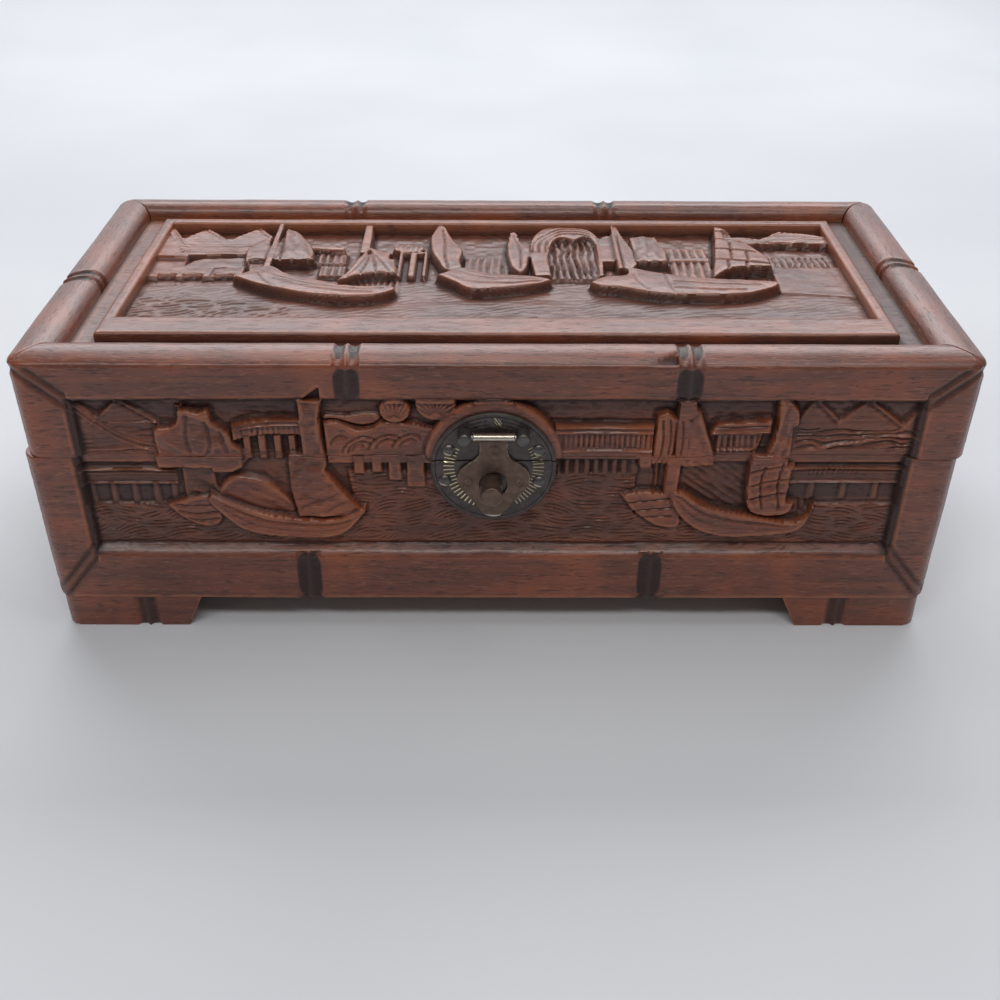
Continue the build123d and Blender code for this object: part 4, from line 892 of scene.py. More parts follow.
def worn_copy(name, node, voxel, material, body, press=None, passes=6, scale=0.12, worn=1.0):
    """A copy of a CAD solid with its edges rubbed soft, and its surface pressed in or out if asked."""
    shape = bmesh.new()
    shape.from_mesh(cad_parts[node].data)
    bmesh.ops.remove_doubles(shape, verts=shape.verts, dist=1e-6)
    mesh = bpy.data.meshes.new(name)
    shape.to_mesh(mesh)
    shape.free()
    rough = bpy.data.objects.new(name, mesh)
    bpy.context.scene.collection.objects.link(rough)
    remesh = rough.modifiers.new("rubbed_edges", "REMESH")
    remesh.mode, remesh.voxel_size = "VOXEL", voxel / 1000
    remade = bpy.data.meshes.new_from_object(rough.evaluated_get(bpy.context.evaluated_depsgraph_get()))
    bpy.data.objects.remove(rough)
    points, ways, stain_shade_and_shine = mesh_values(remade, "co") * 1000, mesh_values(remade, "normal"), 0.0
    if press:
        points, stain_shade_and_shine = press(points, ways)
    faces = [list(face.vertices) for face in remade.polygons]
    bpy.data.meshes.remove(remade)
    low, high = (np.array(corner) * 1000 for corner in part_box(node))
    set_down(name, np.clip(points, low, high), faces, [material],
             body, node, stain_shade_and_shine, passes, scale, 50, worn)


FOOT_NODE = 30.0         # from the box's end to the node of a foot


def foot_press(points, ways):
    """Slow unevenness from the knife, and the dark stain in the scoops of the node."""
    uneven = 0.08 * drift(points[:, 0] + points[:, 2], points[:, 1] + points[:, 2], 6.0, 81)
    from_node = np.abs(np.abs(points[:, 0] - BASE_X) - (LENGTH / 2 - FOOT_NODE))
    scoop = 0.85 * ease((3.6 - from_node) / 1.3) * (np.abs(ways[:, 1]) > 0.3)
    return points - ways * (0.08 + uneven)[:, None], scoop


foot_wood = stained_camphor("stained_foot_wood", 0)
for row in ("front", "back"):
    for side in ("left", "right"):
        worn_copy(f"worn_foot_{row}_{side}", f"foot_{row}_{side}", 0.5, foot_wood, "base",
                  foot_press, scale=0.25, passes=8)


# The lid's boards. Mitred like the base's, but planed to a half-round rail along the top, which
# runs all round the lid like a length of bamboo with its nodes. The scene goes on across the joint.

LID_NODES = {"front": (-46.2, 58.9), "back": (-42.3, 55.5), "left": (9.0,), "right": (4.0,)}
BOSS_Z, BOSS_R = 68.8, 22.0      # the raised ring round the lock plate
RAIL_ROUND, RAIL_EDGE, RAIL_TOP = 5.0, 2.0, 17.0     # radii of the rail's inner side, outer edge and top
RAIL_MEET = 118          # where the tight edge passes into the gentle top, in degrees from inward
EDGE_UP = CROWN - RAIL_TOP + (RAIL_TOP - RAIL_EDGE) * np.sin(np.radians(RAIL_MEET))


def lid_rows(side, seated=False):
    """A lid board's outline from the joint up the outer side, over the rail and down inside."""
    over = (arc((RAIL_EDGE, EDGE_UP), RAIL_EDGE, 180, RAIL_MEET, 8),
            arc((BOARD - RAIL_ROUND, CROWN - RAIL_TOP), RAIL_TOP, RAIL_MEET - 2, 92, 9),
            arc((BOARD - RAIL_ROUND, CROWN - RAIL_ROUND), RAIL_ROUND, 90, 0, 9),
            ([(BOARD, 97), (BOARD, 84)], None))
    if side == "back":
        return rows_of(upright([SEAM + BEVEL_RISE, EDGE_UP], [FINE[side]]),
                       *over, (hinge_edge(seated, False), None))
    return rows_of(joint_arc(SEAM + JOINT_SOFT, 270, 180),
                   upright([SEAM + JOINT_SOFT, RAIL_LOW + 2.4, EDGE_UP], [FINE[side], COARSE]), *over,
                   ([(BOARD, SEAM)], None))


def rail_damage(x, up, inward, sunk, shade_and_stain):
    """A chip beside the front rail's right node, and a nick under the rail over the left mast, both darkened
    inside with painted shade.
    """
    share = np.clip((x - 46.0) / 9.4, 0, 1)
    reach = np.abs(inward - 0.6 - 2.2 * share) / (0.3 + 2.4 * share)
    chip = share * ease((1 - reach) * 2) * (share < 1) * (up > CROWN - 2.8)
    nick = ease((RAIL_LOW + 0.4 + (x + 60.2) * 0.75 - up) / 0.8)
    nick = nick * (x > -60.2) * (x < -54.0) * (up > RAIL_LOW)
    return np.maximum(sunk + 1.5 * chip, 2.4 * nick), np.maximum(shade_and_stain, np.maximum(0.6 * chip, 0.8 * nick))


for side in ("front", "left", "right", "back"):
    front_only = ((LOCK_X, BOSS_Z, BOSS_R), rail_damage) if side == "front" else ()
    sinking = sink_board(side, LID_X, LID_NODES[side], (0.0, RAIL_LOW), (RAIL_LOW, EDGE_UP),
                         (CROWN - 1, RAIL_LOW), *front_only)
    wall_board("lid", side, LID_X, lid_rows, sinking, LID_NODES[side])


# The top. One thick camphor board, tongued into the rails. A raised border was left round it and
# the ground inside carved down deeply, so that boats, sails and mountains stand up to its level.

def backed(surface, axis, back_at):
    """A grid of points, closed by its rim laid flat at a value along an axis."""
    rows, count = surface.shape[:2]
    index = np.arange(rows * count).reshape(rows, count)
    quads = np.stack([index[:-1, :-1], index[:-1, 1:], index[1:, 1:], index[1:, :-1]], -1).reshape(-1, 4)
    ring = np.concatenate([index[0, :-1], index[:-1, -1], index[-1, :0:-1], index[:0:-1, 0]])
    points = surface.reshape(-1, 3)
    laid = points[ring]
    laid[:, axis] = back_at
    back = np.arange(len(ring)) + len(points)
    skirt = np.stack([ring, back, np.roll(back, -1), np.roll(ring, -1)], -1)
    return np.vstack([points, laid]), quads.tolist() + skirt.tolist() + [back.tolist()]


BAND = CROWN - 5.4       # height of the flat band between rail and border
PANEL_UNDER = BAND - 8.0
BORDER_RISE = 3.4
GROUND = BAND + BORDER_RISE - 5.3
HALF_X, HALF_Y = LENGTH / 2 - BOARD, DEPTH / 2 - BOARD       # from the lid's middle to its rails
BORDER_X, BORDER_Y = HALF_X - 8.0, HALF_Y - 7.1
FIELD_X, FIELD_FRONT, FIELD_BACK = BORDER_X - 4.0, -BORDER_Y + 12.2, BORDER_Y - 4.6


def top_border():
    """The flat band and the raised border round the carved field.

    near and rise are the border's outer edge, as distances inward and heights, edge and fall its inner.
    """
    near = [0.0, 0.06, 0.3, 0.8, 1.4]
    rise = [0.0, 2.4, 3.0, 3.3, BORDER_RISE]
    edge = [-1.4, -0.7, -0.25, 0.0, 0.06]
    fall = [0.0, -0.12, -0.45, -0.9, -6.2]

    def places(outer, border, field_low, field_high):
        low = spaced([-outer, -border], [1.2])[:-1].tolist() + [-border + g for g in near]
        high = [border - g for g in near[::-1]] + spaced([border, outer], [1.2])[1:].tolist()
        return np.array(low + spaced([-border + 2.0, field_low - 1.5], [0.8]).tolist()
                        + [field_low + g for g in edge]
                        + spaced([field_low + 1, field_high - 1], [2.5]).tolist()
                        + [field_high - g for g in edge[::-1]]
                        + spaced([field_high + 1.5, border - 2.0], [0.8]).tolist() + high)

    x, y = np.meshgrid(places(HALF_X, BORDER_X, -FIELD_X, FIELD_X),
                       places(HALF_Y, BORDER_Y, FIELD_FRONT, FIELD_BACK))
    outside = np.minimum(BORDER_X - np.abs(x), BORDER_Y - np.abs(y))
    inside = np.minimum(FIELD_X - np.abs(x), np.minimum(y - FIELD_FRONT, FIELD_BACK - y))
    z = BAND + np.interp(outside, near, rise) + np.interp(inside, edge, fall)
    z -= (inside < -0.1) * (0.06 + 0.05 * drift(x / 5, y, 1.7, 91) + 0.05 * drift(x, y, 14.0, 93))
    surface = np.stack([x + LID_X, y + MIDDLE, z], -1)
    points, faces = backed(surface, 2, PANEL_UNDER)
    # painted shade: dark in the crack along the rails, over the flat band and darker towards the right, and
    # on the border's inner wall and inside it
    to_rail = np.minimum(HALF_X - np.abs(x), HALF_Y - np.abs(y))
    band_shade = (outside < 0.3) * (0.25 + 0.55 * ease((x - 60) / 70) + 0.15 * drift(x, y, 12.0, 95))
    shade_and_stain = 0.8 * ease((1.7 - to_rail) / 1.1) + band_shade + 0.8 * (inside > 0.02)
    piece = set_down("raised_top_border", points, faces, [wood_along["front"], inside_along["front"]], "lid",
                     "lid_panel", np.clip(shade_and_stain, 0, 1), passes=4, scale=0.2)
    piece.data.polygons[len(faces) - 1].material_index = 1


SLANT = 1.467            # how far the photograph's view carries a figure back for each unit of its height
MEASURED = 2.9           # the height at which the figures' places were measured


def lift(points, height):
    """Moves a figure from where it was measured to where it stands at its own height."""
    return [(x, y - SLANT * (height - MEASURED)) for x, y in points]


def lifted(work, points, height, crown=0.0, cuts=(), width=0.8, depth=0.7):
    """A figure left standing at its height, with the cuts on it."""
    work.stand(lift(points, height), height, crown=crown)
    for line in cuts:
        work.cut(lift(line, height), width, depth)


def boat_on_top(work, deck, planks):
    """A hull seen from its side, standing up from the water as a thick crescent."""
    deck_height = 5.0
    deck = lift(deck, deck_height)
    work.stand(curved(deck + deck[:1], 4)[:-1], 4.7, 0.95, crown=0.5)
    for line in planks:
        work.cut(curved(lift(line, deck_height)), 0.8, 0.4)


def top_scene(work):
    """The harbour on the lid: junks in a row before a bridge, a grotto and far mountains."""
    work.water([(-126, -38), (127, -38), (127, 1), (60, 6), (-34, 6), (-88, 2), (-126, 2)],
               1.1, 2.6, 0.12, 0.2)
    work.water([(-126, -40), (-52, -40), (-72, -10), (-126, -3)], 1.1, 2.3, 0.6, 0.4, 5.0)
    work.water([(-20, -40), (62, -40), (50, -16), (-10, -14)], 1.1, 2.6, 0.35, 0.3, 6.0)
    # Left: mountains, broken ground and the bridge with its square openings
    lifted(work, [(-127, 52), (-127, 12), (-112, 12), (-112, 30), (-125, 56)], 3.1)
    peak(work, (-118, 39), (-110, 50.4), (-99, 37.5), 27, 3.1)
    peak(work, (-101, 37), (-90, 51), (-84, 42), 27, 3.2)
    work.stand([(-118, 24.4), (-86, 25.6), (-86, 40), (-118, 40)], 2.9)
    work.rule(oblong(-117, 26, -87, 38), 2, 2.6, 0.45, 1.4)
    for step in (0.0, 2.2):
        work.bead([(-124.5, 49.5 - step), (-113, 27.5 - step)], 0.7, 0.5)
    work.stand([(-124, 7), (-90, 7), (-90, 24.4), (-107, 23.2), (-110, 21.4), (-112, 17), (-112, 22),
                (-124, 22)], 1.9)
    for x0, x1 in ((-119.5, -113.4), (-110.6, -104.2), (-99.6, -93)):
        work.stand([(x0, 2.6), (x1, 3.0), (x1, 8.2), (x0, 7.6)], 0.3, 0.3)
        work.bead([(x0 - 0.4, 8.8), (x1 + 0.4, 9.2)], 0.8, 0.5)
    work.cut([(-101.4, 8), (-101, 14.6), (-97, 15.4)], 0.7, 0.5)
    work.bead([(-124, 22.6), (-113, 22.8)], 0.7, 0.5)
    # The first junk with its two sails and mast
    lifted(work, curved([(-90, 18), (-91, 28), (-88.4, 37), (-84, 38), (-82.5, 26), (-82.6, 18)]), 4.0, 0.5)
    sail = [(-80.6, 20), (-79.6, 47), (-77, 48.4), (-73, 44), (-70, 38), (-67, 31), (-65.6, 21), (-73, 20)]
    ruled(work, lift(curved(sail), 4.6), 4.6, 104, 4.6, 0.55, 1.2, crown=0.7)
    lifted(work, [(-83, 12), (-82.6, 54.5), (-80.6, 54.5), (-79.8, 12)],
           4.8, 0.3, [[(-79.6, 46), (-77.6, 20), (-75, 8)]], 0.9, 0.9)
    lifted(work, [(-88, 9), (-89, 17.6), (-83, 18), (-83, 9)], 2.4)
    boat_on_top(work, [(-91.5, 5), (-86, 10.4), (-80, 14.6), (-72, 7), (-60, 1.6), (-48, -2.6), (-36, -2.4),
                       (-35, -6.8), (-44, -11), (-60, -10), (-72, -6), (-82, -1.4)],
                [[(-78, 7), (-66, -0.4), (-52, -4.6), (-38, -5.2)],
                 [(-77, 3), (-64, -4), (-52, -7.6), (-42, -8.4)], [(-84, 9), (-79.5, 1), (-76, -3)]])
    # A small pavilion, the second mast and the scalloped fan sail
    lifted(work, [(-67, 33.6), (-55.4, 31.4), (-55, 28.6), (-67, 30)], 3.6)
    for box in (oblong(-66, 19.4, -54, 28), oblong(-63, 8, -53.4, 17)):
        ruled(work, box, 2.0, 90, 2.6, 0.9, 0.4)
    lifted(work, [(-49.6, 26), (-49.6, 55), (-46.4, 55), (-45.6, 26)], 4.4, 0.3)
    ruled(work, [(-54, -5), (-34, -5), (-34, 7), (-48, 5)], 1.6, 90, 2.1, 0.7)
    lifted(work, curved([(-46, 31), (-41, 27.6), (-37, 25), (-35.4, 16), (-34.8, 8.6), (-42, 8.4),
                         (-48.6, 6), (-55, 1.4), (-52, 10), (-50, 20)]), 4.8, 0.9)
    for foot in ((-52.6, 1.5), (-47.5, 4.6), (-42.2, 6.2), (-37.4, 6.6)):
        work.cut(curved([(-46, 25), ((foot[0] - 46) / 2 + 0.8, foot[1] / 2 + 12), foot]), 0.8, 0.6)
    work.stand(lift(curved([(-37.9, 20), (-38.2, 22.4), (-37.6, 24.6), (-36.6, 22.4), (-37, 20)]), 4.8),
               1.2, 0.3)
    # A round-roofed shrine on columns
    work.stand(oblong(-35, 6, -24.6, 28), 3.0)
    for x0, x1 in ((-33.6, -31.2), (-28.6, -26.2)):
        work.stand([(x0, 5.4), (x1, 5.4), (x1, 26.4), (x0, 26)], 0.5, 0.35)
    ruled(work, oval(-31.8, 30.4, 6.0, 3.6, 21), 3.6, 90, 2.0, 0.5, crown=0.5)
    # The middle junk between its two crescent sails
    ruled(work, oblong(-11, 9, 6, 26), 1.8, 90, 2.6, 0.8, 0.4)
    lifted(work, curved([(-21.8, 54.6), (-19, 52), (-15.8, 40), (-11.8, 29.4), (-12.6, 20), (-11.8, 12),
                         (-17.6, 11), (-21, 20), (-23.6, 30), (-24.2, 43)]), 4.7, 0.8,
           [curved([(-20, 50), (-18.6, 36), (-18.4, 24), (-16.8, 12)])])
    lifted(work, curved([(5.4, 46), (8, 46.4), (10, 36), (14.8, 30.4), (12.4, 23), (11.4, 14.4), (9, 8.6),
                         (6, 14), (4.6, 23), (4.2, 33)]), 4.5, 0.7,
           [curved([(7, 44), (8.6, 34), (9.4, 24), (9, 12)])], 0.8, 0.6)
    boat_on_top(work, [(-20.6, 7), (-12, 13.2), (-6, 10.4), (0, 7.4), (11, 6.4), (19.6, 3), (13.6, -1.2),
                       (5, -3.4), (-8, -5.2), (-14, 0.6)],
                [[(-17, 7.6), (-8, 0.6), (4, -0.6), (16, 1.6)], [(-13, 10.4), (-4, 4), (6, 3), (16, 3)]])
    # The grotto with hanging rock, under rings of cut stone
    grotto = curved([(14, 5), (12.6, 26), (14, 40), (19, 49.4), (29, 50.6), (36, 47.4), (39.4, 38),
                     (39.4, 26), (38.6, 5)])
    work.stand(grotto, 3.9, crown=0.4)
    for step in (0.0, 2.6, 5.0):
        work.cut(curved([(18.6 - step, 26), (19.6 - step, 36), (24, 42.6 + step), (31, 43.4 + step),
                         (35.6, 41 + step)]), 0.9, 0.8)
    cave = curved([(20, 4.6), (19.4, 22), (21.6, 36), (25, 40.2), (29.6, 38), (33.6, 40.6), (37.2, 34),
                   (36.6, 4.6)])
    ruled(work, cave, 2.4, 91, 2.5, 1.7, 0.8)
    work.facets(cave, 4.8, 0.5, 19)
    work.shade(cave, 0.5)
    # The third junk: a tall sail with its flap, a plain sail and a tiled one
    lifted(work, [(38.4, 19), (38.2, 40), (42, 44), (44, 44), (44, 19)], 3.4)
    ruled(work, lift([(50.8, 19.6), (50.4, 42), (56, 44), (60.4, 42), (63.2, 29), (62.6, 19.6)], 4.3),
          4.3, 84, 4.4, 0.45, 1.0, crown=0.7)
    lifted(work, [(43.6, 12), (44, 54.6), (46, 54.6), (48, 42), (50.4, 30), (51, 16), (49, 12)],
           4.8, 0.4, [[(45.4, 53), (45.8, 13)]], 0.7, 0.8)
    ruled(work, oblong(63, 6, 78, 33), 2.4, 90, 2.9, 1.1, 0.5)
    work.stand(oblong(63.6, 20.6, 78, 23.4), 2.8)
    lifted(work, [(76, 3.4), (79, 20), (82, 40), (83.6, 52.6), (86.6, 51.4), (90, 46), (93, 38.4),
                  (96, 30.4), (99.4, 22.4), (99.2, 14.4), (92, 15), (84, 13), (79.6, 8.4)], 4.8, 0.5)
    for left, right, joints in (((79.4, 21), (98.8, 17), (84, 90.5)), ((80.8, 31), (95.6, 27.4), (86.4, 92)),
                                ((82.2, 40.6), (92, 37), (87.4,)), ((83.4, 48.4), (88.4, 46.4), ())):
        rise = (right[1] - left[1]) / (right[0] - left[0])
        work.cut(lift([left, right], 4.8), 0.9, 0.9)
        for joint in joints:
            below = left[1] + rise * (joint - left[0])
            work.cut(lift([(joint, below), (joint - 0.8, below - 9)], 4.8), 0.8, 0.8)
    boat_on_top(work, [(33, 1), (38, 5.4), (46, 7.4), (47.4, 13.4), (55, 10.4), (63, 7.4), (75, 4.6),
                       (98, 1.8), (93, -5.2), (81, -9), (60, -8.8), (50, -6.2), (43, -3.2), (36, -2.2)],
                [[(48, 11), (49.6, 2), (53, -6)], [(59.6, 8), (60.4, 0), (61.4, -8)],
                 [(62, 1.4), (76, -0.8), (92, -1.6)], [(62, -4), (76, -5.6), (86, -5.4)]])
    # Right: far mountains, reeds and a plain stretch of shore
    work.stand([(99.6, -4), (126, -8), (126, 18), (99.6, 18)], 1.5)
    work.stand([(86, 36.4), (94, 35.8), (108, 37.6), (126, 36.4), (126, 43), (118, 46.4), (108, 48.4),
                (100, 41), (92, 42.6), (86, 46)], 3.2)
    work.rule([(86, 36.4), (126, 36.4), (126, 43), (108, 48.4), (86, 46)], 1, 3.0, 0.4, 1.0)
    work.rule(oblong(99, 17, 123, 30), 90, 2.3, 0.9, 0.8)


FIELD_STEP_X, FIELD_STEP_Y, MEAN_STEP = 0.5, 0.43, 0.47      # spacing of the carved field's points
DEEPEST, HIGHEST = -0.6, 6.6     # bounds of the carving over the ground


def top_field():
    """The carved field, standing in the border, with painted shade on its walls and in its hollows."""
    x, y = np.meshgrid(spaced([-FIELD_X + 0.04, FIELD_X - 0.04], [FIELD_STEP_X]),
                       spaced([FIELD_FRONT + 0.04, FIELD_BACK - 0.04], [FIELD_STEP_Y]))
    work = Carving(x + LID_X, y + MIDDLE)
    top_scene(work)
    z = GROUND + np.clip(work.height, DEEPEST, HIGHEST)
    points, faces = backed(np.stack([x + LID_X, y + MIDDLE, z], -1), 2, GROUND - 1.0)
    # painted shade: dark on steep walls, on low ground, in hollows beside taller figures and along the
    # border, with the carving's own painted shade
    steep = np.hypot(*np.gradient(z)) / MEAN_STEP
    steep = (steep + np.roll(steep, 1, 0) + np.roll(steep, -1, 0)) / 3
    low = 0.45 * ease((2.6 - work.height) / 1.6)
    to_border = np.minimum(FIELD_X - np.abs(x), np.minimum(y - FIELD_FRONT, FIELD_BACK - y))
    by_border = ease((2.2 - to_border) / 2.2) * (work.height < 3)
    corners = 0.8 * np.maximum(sheltered(work.height, SHELTER), by_border)
    shade_and_stain = np.max([0.6 * ease((steep - 0.9) / 1.4), low, corners, work.shade_and_stain], 0)
    set_down("carved_top_harbour", points, faces, [wood_along["front"]], "lid",
             "lid_panel", shade_and_stain, passes=9, scale=0.3)


top_border()
top_field()


# The hinges. Two plain brass butt hinges let into the back edges and screwed down, their pins a
# little inside the back. Only their knuckles show while the box is shut.

def brass(name, patina, bright, rub, roughness):
    """Brass that has gone dark, with bare metal where it is handled and where a piece's points carry painted
    highlights.
    """
    made, surface = new_material(name, Specular_IOR_Level=0.5)
    patch = surface.noise(2.4, 4.0, 0.6)
    metal = patch.between(0.35, 0.7).blend(patina, [c * 1.5 for c in patina[:3]] + [1.0])
    metal = (surface.noise(0.6, 3.0, 0.6).between(0.55, 0.75) * 0.5).blend(metal, rgb(36, 34, 30))
    edge = vertex_value(surface, "edge") * surface.noise(1.6, 3.0).between(0.30, 0.62)
    # the points' mark adds rubbed metal on the hasp's tip and painted highlights on the barrel, the nail
    # heads and the stamped ticks
    rubbed = (edge + vertex_value(surface, "stain_shade_and_shine")).between(0.18, 0.9) * rub
    metal = rubbed.blend(metal, bright)
    feed(made, patch + surface.noise(0.35, 2.0) * 0.4, 0.35, 0.00012, Base_Color=metal,
         Metallic=0.72 + rubbed * 0.28, Roughness=roughness + patch * 0.16 - rubbed * 0.16)
    return made


hinge_brass = brass("dull_hinge_brass", rgb(150, 118, 66), rgb(214, 178, 112), 0.7, 0.36)
for node in ("base_leaf_left", "base_leaf_right", "lid_leaf_left", "lid_leaf_right", "pin_left", "pin_right",
             "base_screws", "lid_screws"):
    finish_node("hinge_" + node, hinge_brass)


# The lock. A round brass plate sawn in two along the joint, stamped with ticks and a leaf and held
# by dome-headed nails. A pierced hasp swings on a rod between two posts and drops over the staple.

plate_brass = brass("blackened_plate_brass", rgb(76, 69, 67), rgb(236, 220, 176), 0.9, 0.30)
hasp_brass = brass("browned_hasp_brass", rgb(98, 80, 70), rgb(216, 208, 194), 0.8, 0.34)
post_brass = brass("greyed_post_brass", rgb(88, 84, 82), rgb(222, 214, 196), 0.85, 0.26)
PLATE_THICK = 1.0
SAWN = 0.15              # what each half of the plate keeps off the joint


def ray(x, z, degrees, inner, outer, width):
    """1 on a stamped line that points away from the plate's centre, 0 off it."""
    way_x, way_z = np.cos(np.radians(degrees)), np.sin(np.radians(degrees))
    out = np.clip(x * way_x + z * way_z, inner, outer)
    return ease(1.2 - np.hypot(x - out * way_x, z - out * way_z) / width)


def plate_stamps(x, z):
    """Ticks round the plate, arcs of dashes at the top and a small leaf, as dents and as a raised part."""
    dent = np.zeros_like(x)
    for degrees in [*np.arange(150, 246, 5.6), *np.arange(299, 391, 5.1)]:
        dent = np.maximum(dent, ray(x, z, degrees, 12.7, 15.9, 0.30))
    for degrees in np.arange(58, 124, 6.0):
        dent = np.maximum(dent, 0.8 * ray(x, z, degrees, 12.8, 14.2, 0.28))
    radius, turn = np.hypot(x, z), np.degrees(np.arctan2(z, x))
    arcs = ((turn > 60) & (turn < 82)) | ((turn > 98) & (turn < 124))
    dashes = arcs * (np.sin(np.radians(turn * 42)) > -0.75)
    for ring in (15.5, 16.9):
        dent = np.maximum(dent, ease(1.2 - np.abs(radius - ring) / 0.28) * dashes)
    along, over = (x - 1.3) * 0.55 - (z - 16.7) * 0.83, (x - 1.3) * 0.83 + (z - 16.7) * 0.55
    leaf = ease((1 - np.hypot(along / 2.5, over / 1.15)) * 3) * (0.7 + 0.3 * np.cos(over * 7))
    return dent, leaf


def plate_half(half, body):
    """One half of the plate, its stamped face a grid of points between the joint and the rim."""
    upper = half == "upper"
    turn = np.linspace(-np.pi / 2, np.pi / 2, 300)
    cut = SEAM - PLATE_Z + (SAWN if upper else -SAWN)
    x = ((np.sqrt(PLATE_R ** 2 - cut ** 2) if upper else PLATE_R) - 0.01) * np.sin(turn)
    rim = np.sqrt(PLATE_R ** 2 - x ** 2)
    low, high = (np.full_like(x, cut), rim) if upper else (-rim, np.minimum(rim, cut))
    z = low + np.linspace(0, 1, 104 if upper else 128)[:, None] * (high - low)
    x = np.broadcast_to(x, z.shape)
    radius = np.hypot(x, z)
    dent, leaf = plate_stamps(x, z)
    proud = 0.4 * ease((radius - 18.4) / 0.5) * (1 - 0.8 * ease((radius - 19.5) / 0.5))
    proud = proud + 0.38 * leaf - 0.20 * dent + 0.025 * drift(x, z, 2.5, 101)
    proud -= 0.25 * ease((0.6 - np.abs(z + PLATE_Z - SEAM)) / 0.45)
    surface = np.stack([x + LOCK_X, FACE - PLATE_THICK - np.clip(proud, -0.6, 0.4), z + PLATE_Z], -1)
    points, faces = backed(surface, 1, FACE)
    # painted highlights: in the stamped ticks below the top arcs, brighter on the left, and on the raised
    # leaf
    painted_shine = 0.95 * dent * (0.7 + 0.3 * (x < 2)) * (z < 12) + 0.5 * leaf
    set_down("stamped_plate_" + half, points, faces, [plate_brass], body, "lock_plate_" + half,
             painted_shine, passes=5, scale=0.10, worn=0.3)


plate_half("upper", "lid")
plate_half("lower", "base")


def hasp_press(points, ways):
    """Three ring-and-dot stamps, a tip rubbed bright by fingers, and a painted highlight along the upper
    front of the barrel.
    """
    x, z = points[:, 0] - LOCK_X, points[:, 2]
    ahead = (ways[:, 1] < -0.6) & (z < 76.6)
    dent = np.zeros(len(points))
    for cx, cz in ((0.3, 74.2), (-7.9, 62.4), (8.0, 62.1)):
        away = np.hypot(x - cx, z - cz)
        dent = np.maximum(dent, np.exp(-((away - 1.45) / 0.34) ** 2) + np.exp(-(away / 0.4) ** 2))
    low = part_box("hasp")[0].z * 1000
    tip = ease((low + 1.5 - z) / 1.2) * (ways[:, 2] < 0.2)
    barrel_highlight = 0.9 * ease((z - 78.6) / 0.5) * ease((ways[:, 2] + 0.35) / 0.5) * ease((0.95 - ways[:, 2]) / 0.3)
    moved = points.copy()
    moved[:, 1] += 0.3 * dent * ahead
    return moved, np.clip(0.9 * tip + barrel_highlight, 0, 1)


def nail_press(points, ways):
    """A painted highlight round the nail heads' lower edges, brightest towards the left."""
    return points, 0.9 * ease((-ways[:, 2] - 0.35 * ways[:, 0] - 0.12) / 0.3) * (ways[:, 1] < -0.1)


worn_copy("pierced_hasp", "hasp", 0.24, hasp_brass, "hasp", hasp_press, worn=0.5)
worn_copy("round_staple", "lock_staple", 0.26, hasp_brass, "base", scale=0.2)
for side in ("left", "right"):
    worn_copy(f"rod_post_{side}", f"hasp_post_{side}", 0.22, post_brass, "lid", scale=0.2)
worn_copy("dome_nails_upper", "plate_nails_upper", 0.2, post_brass, "lid", nail_press)
worn_copy("dome_nails_lower", "plate_nails_lower", 0.2, post_brass, "base", nail_press)
# the rod's brass is made much paler than the rest, a painted highlight along its length
rod_brass = brass("rod_brass_painted_bright", rgb(150, 146, 140), rgb(228, 222, 214), 0.9, 0.26)
worn_copy("bright_hasp_rod", "hasp_rod", 0.2, rod_brass, "lid")


# The floor, the light and the camera: a pale paper sweep that bends up into a backdrop, three wide
# soft lamps, and the view of the photograph.

FLOOR_BACK, FLOOR_BEND = 1.3, 0.6        # metres from the box to the backdrop, and the sweep's radius


def studio_floor():
    sweep = [(FLOOR_BACK + FLOOR_BEND * (np.sin(turn) - 1), FLOOR_BEND * (1 - np.cos(turn)))
             for turn in np.linspace(0, np.pi / 2, 16)]
    line = [(-2.6, 0.0), *sweep, (FLOOR_BACK, 3.2)]
    points = [(x, y, z) for x in (-4.0, 4.0) for y, z in line]
    count = len(line)
    faces = [(i, i + 1, count + i + 1, count + i) for i in range(count - 1)]
    mesh = bpy.data.meshes.new("studio_floor")
    mesh.from_pydata(points, [], faces)
    mesh.flip_normals()
    floor = bpy.data.objects.new("studio_floor", mesh)
    bpy.context.scene.collection.objects.link(floor)
    paint, surface = new_material("pale_paper", Specular_IOR_Level=0.2)
    shade = surface.noise(260.0, 2.0).between(0.3, 0.7).blend(rgb(206, 209, 214), rgb(214, 217, 221))
    feed(paint, surface.noise(1.5, 2.0), 0.05, 0.0002, Base_Color=shade,
         Roughness=0.8 + surface.noise(40.0) * 0.1)
    mesh.materials.append(paint)
    mesh.shade_smooth()


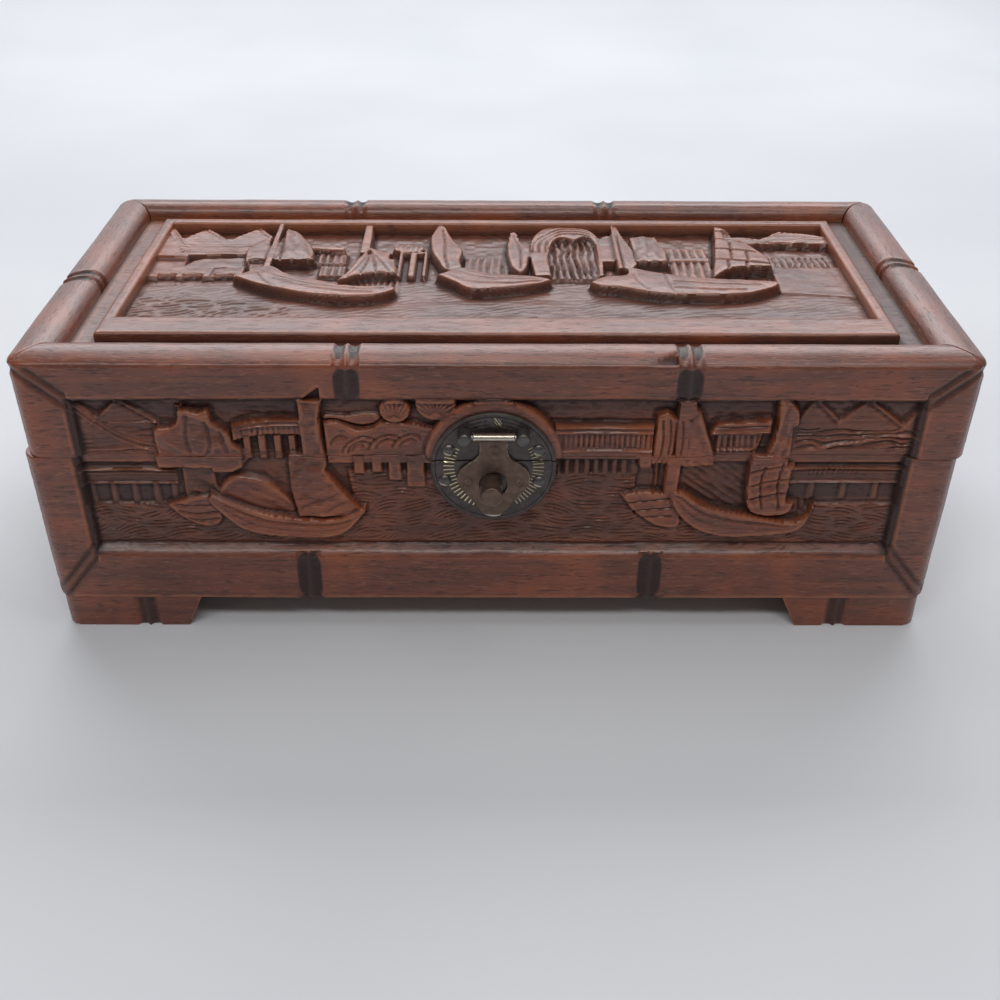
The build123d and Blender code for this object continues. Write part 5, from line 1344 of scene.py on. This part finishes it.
def lamp(name, place, aim, size, watts, colour):
    light = bpy.data.lights.new(name, "AREA")
    light.shape, light.size, light.size_y = "RECTANGLE", size[0], size[1]
    light.energy, light.color = watts, colour
    holder = bpy.data.objects.new(name, light)
    holder.location = place
    holder.rotation_euler = (Vector(aim) - Vector(place)).to_track_quat("-Z", "Y").to_euler()
    bpy.context.scene.collection.objects.link(holder)


studio_floor()
lamp("back_softbox", (0.0, 1.1, 1.0), (0, 0, 0.1), (2.4, 0.8), 22.0, (0.98, 0.98, 1.0))
lamp("top_softbox", (0.1, 0.12, 1.3), (0, 0, 0.05), (1.6, 0.4), 5.0, (1.0, 0.985, 0.97))
lamp("front_softbox", (-0.1, -0.85, 1.3), (0, 0, 0.05), (1.4, 0.2), 8.0, (1.0, 0.98, 0.96))
world = bpy.data.worlds.new("even_room")
world.use_nodes = True
world.node_tree.nodes["Background"].inputs["Color"].default_value = (0.84, 0.85, 0.87, 1.0)
world.node_tree.nodes["Background"].inputs["Strength"].default_value = 0.22
bpy.context.scene.world = world

# Fitted to the box's outline in the photograph
FOCAL_PX, FRAME_PX = 1168.121, 1000
PITCH, ROLL, YAW = np.radians([34.282, 0.338, 0.405])
CAMERA_PLACE = (-0.000555, -0.379512, 0.268106)
camera = bpy.data.cameras.new("photograph_view")
camera.lens = camera.sensor_width * FOCAL_PX / FRAME_PX
viewer = bpy.data.objects.new("photograph_view", camera)
ahead = Vector((np.sin(YAW) * np.cos(PITCH), np.cos(YAW) * np.cos(PITCH), -np.sin(PITCH)))
level = Vector((np.cos(YAW), -np.sin(YAW), 0.0))
steep = level.cross(ahead)
right = level * np.cos(ROLL) + steep * np.sin(ROLL)
above = steep * np.cos(ROLL) - level * np.sin(ROLL)
turned = Matrix((right, above, -ahead)).transposed().to_4x4()
viewer.matrix_world = Matrix.Translation(CAMERA_PLACE) @ turned
bpy.context.scene.collection.objects.link(viewer)
bpy.context.scene.camera = viewer
bpy.context.scene.view_settings.view_transform = "Standard"
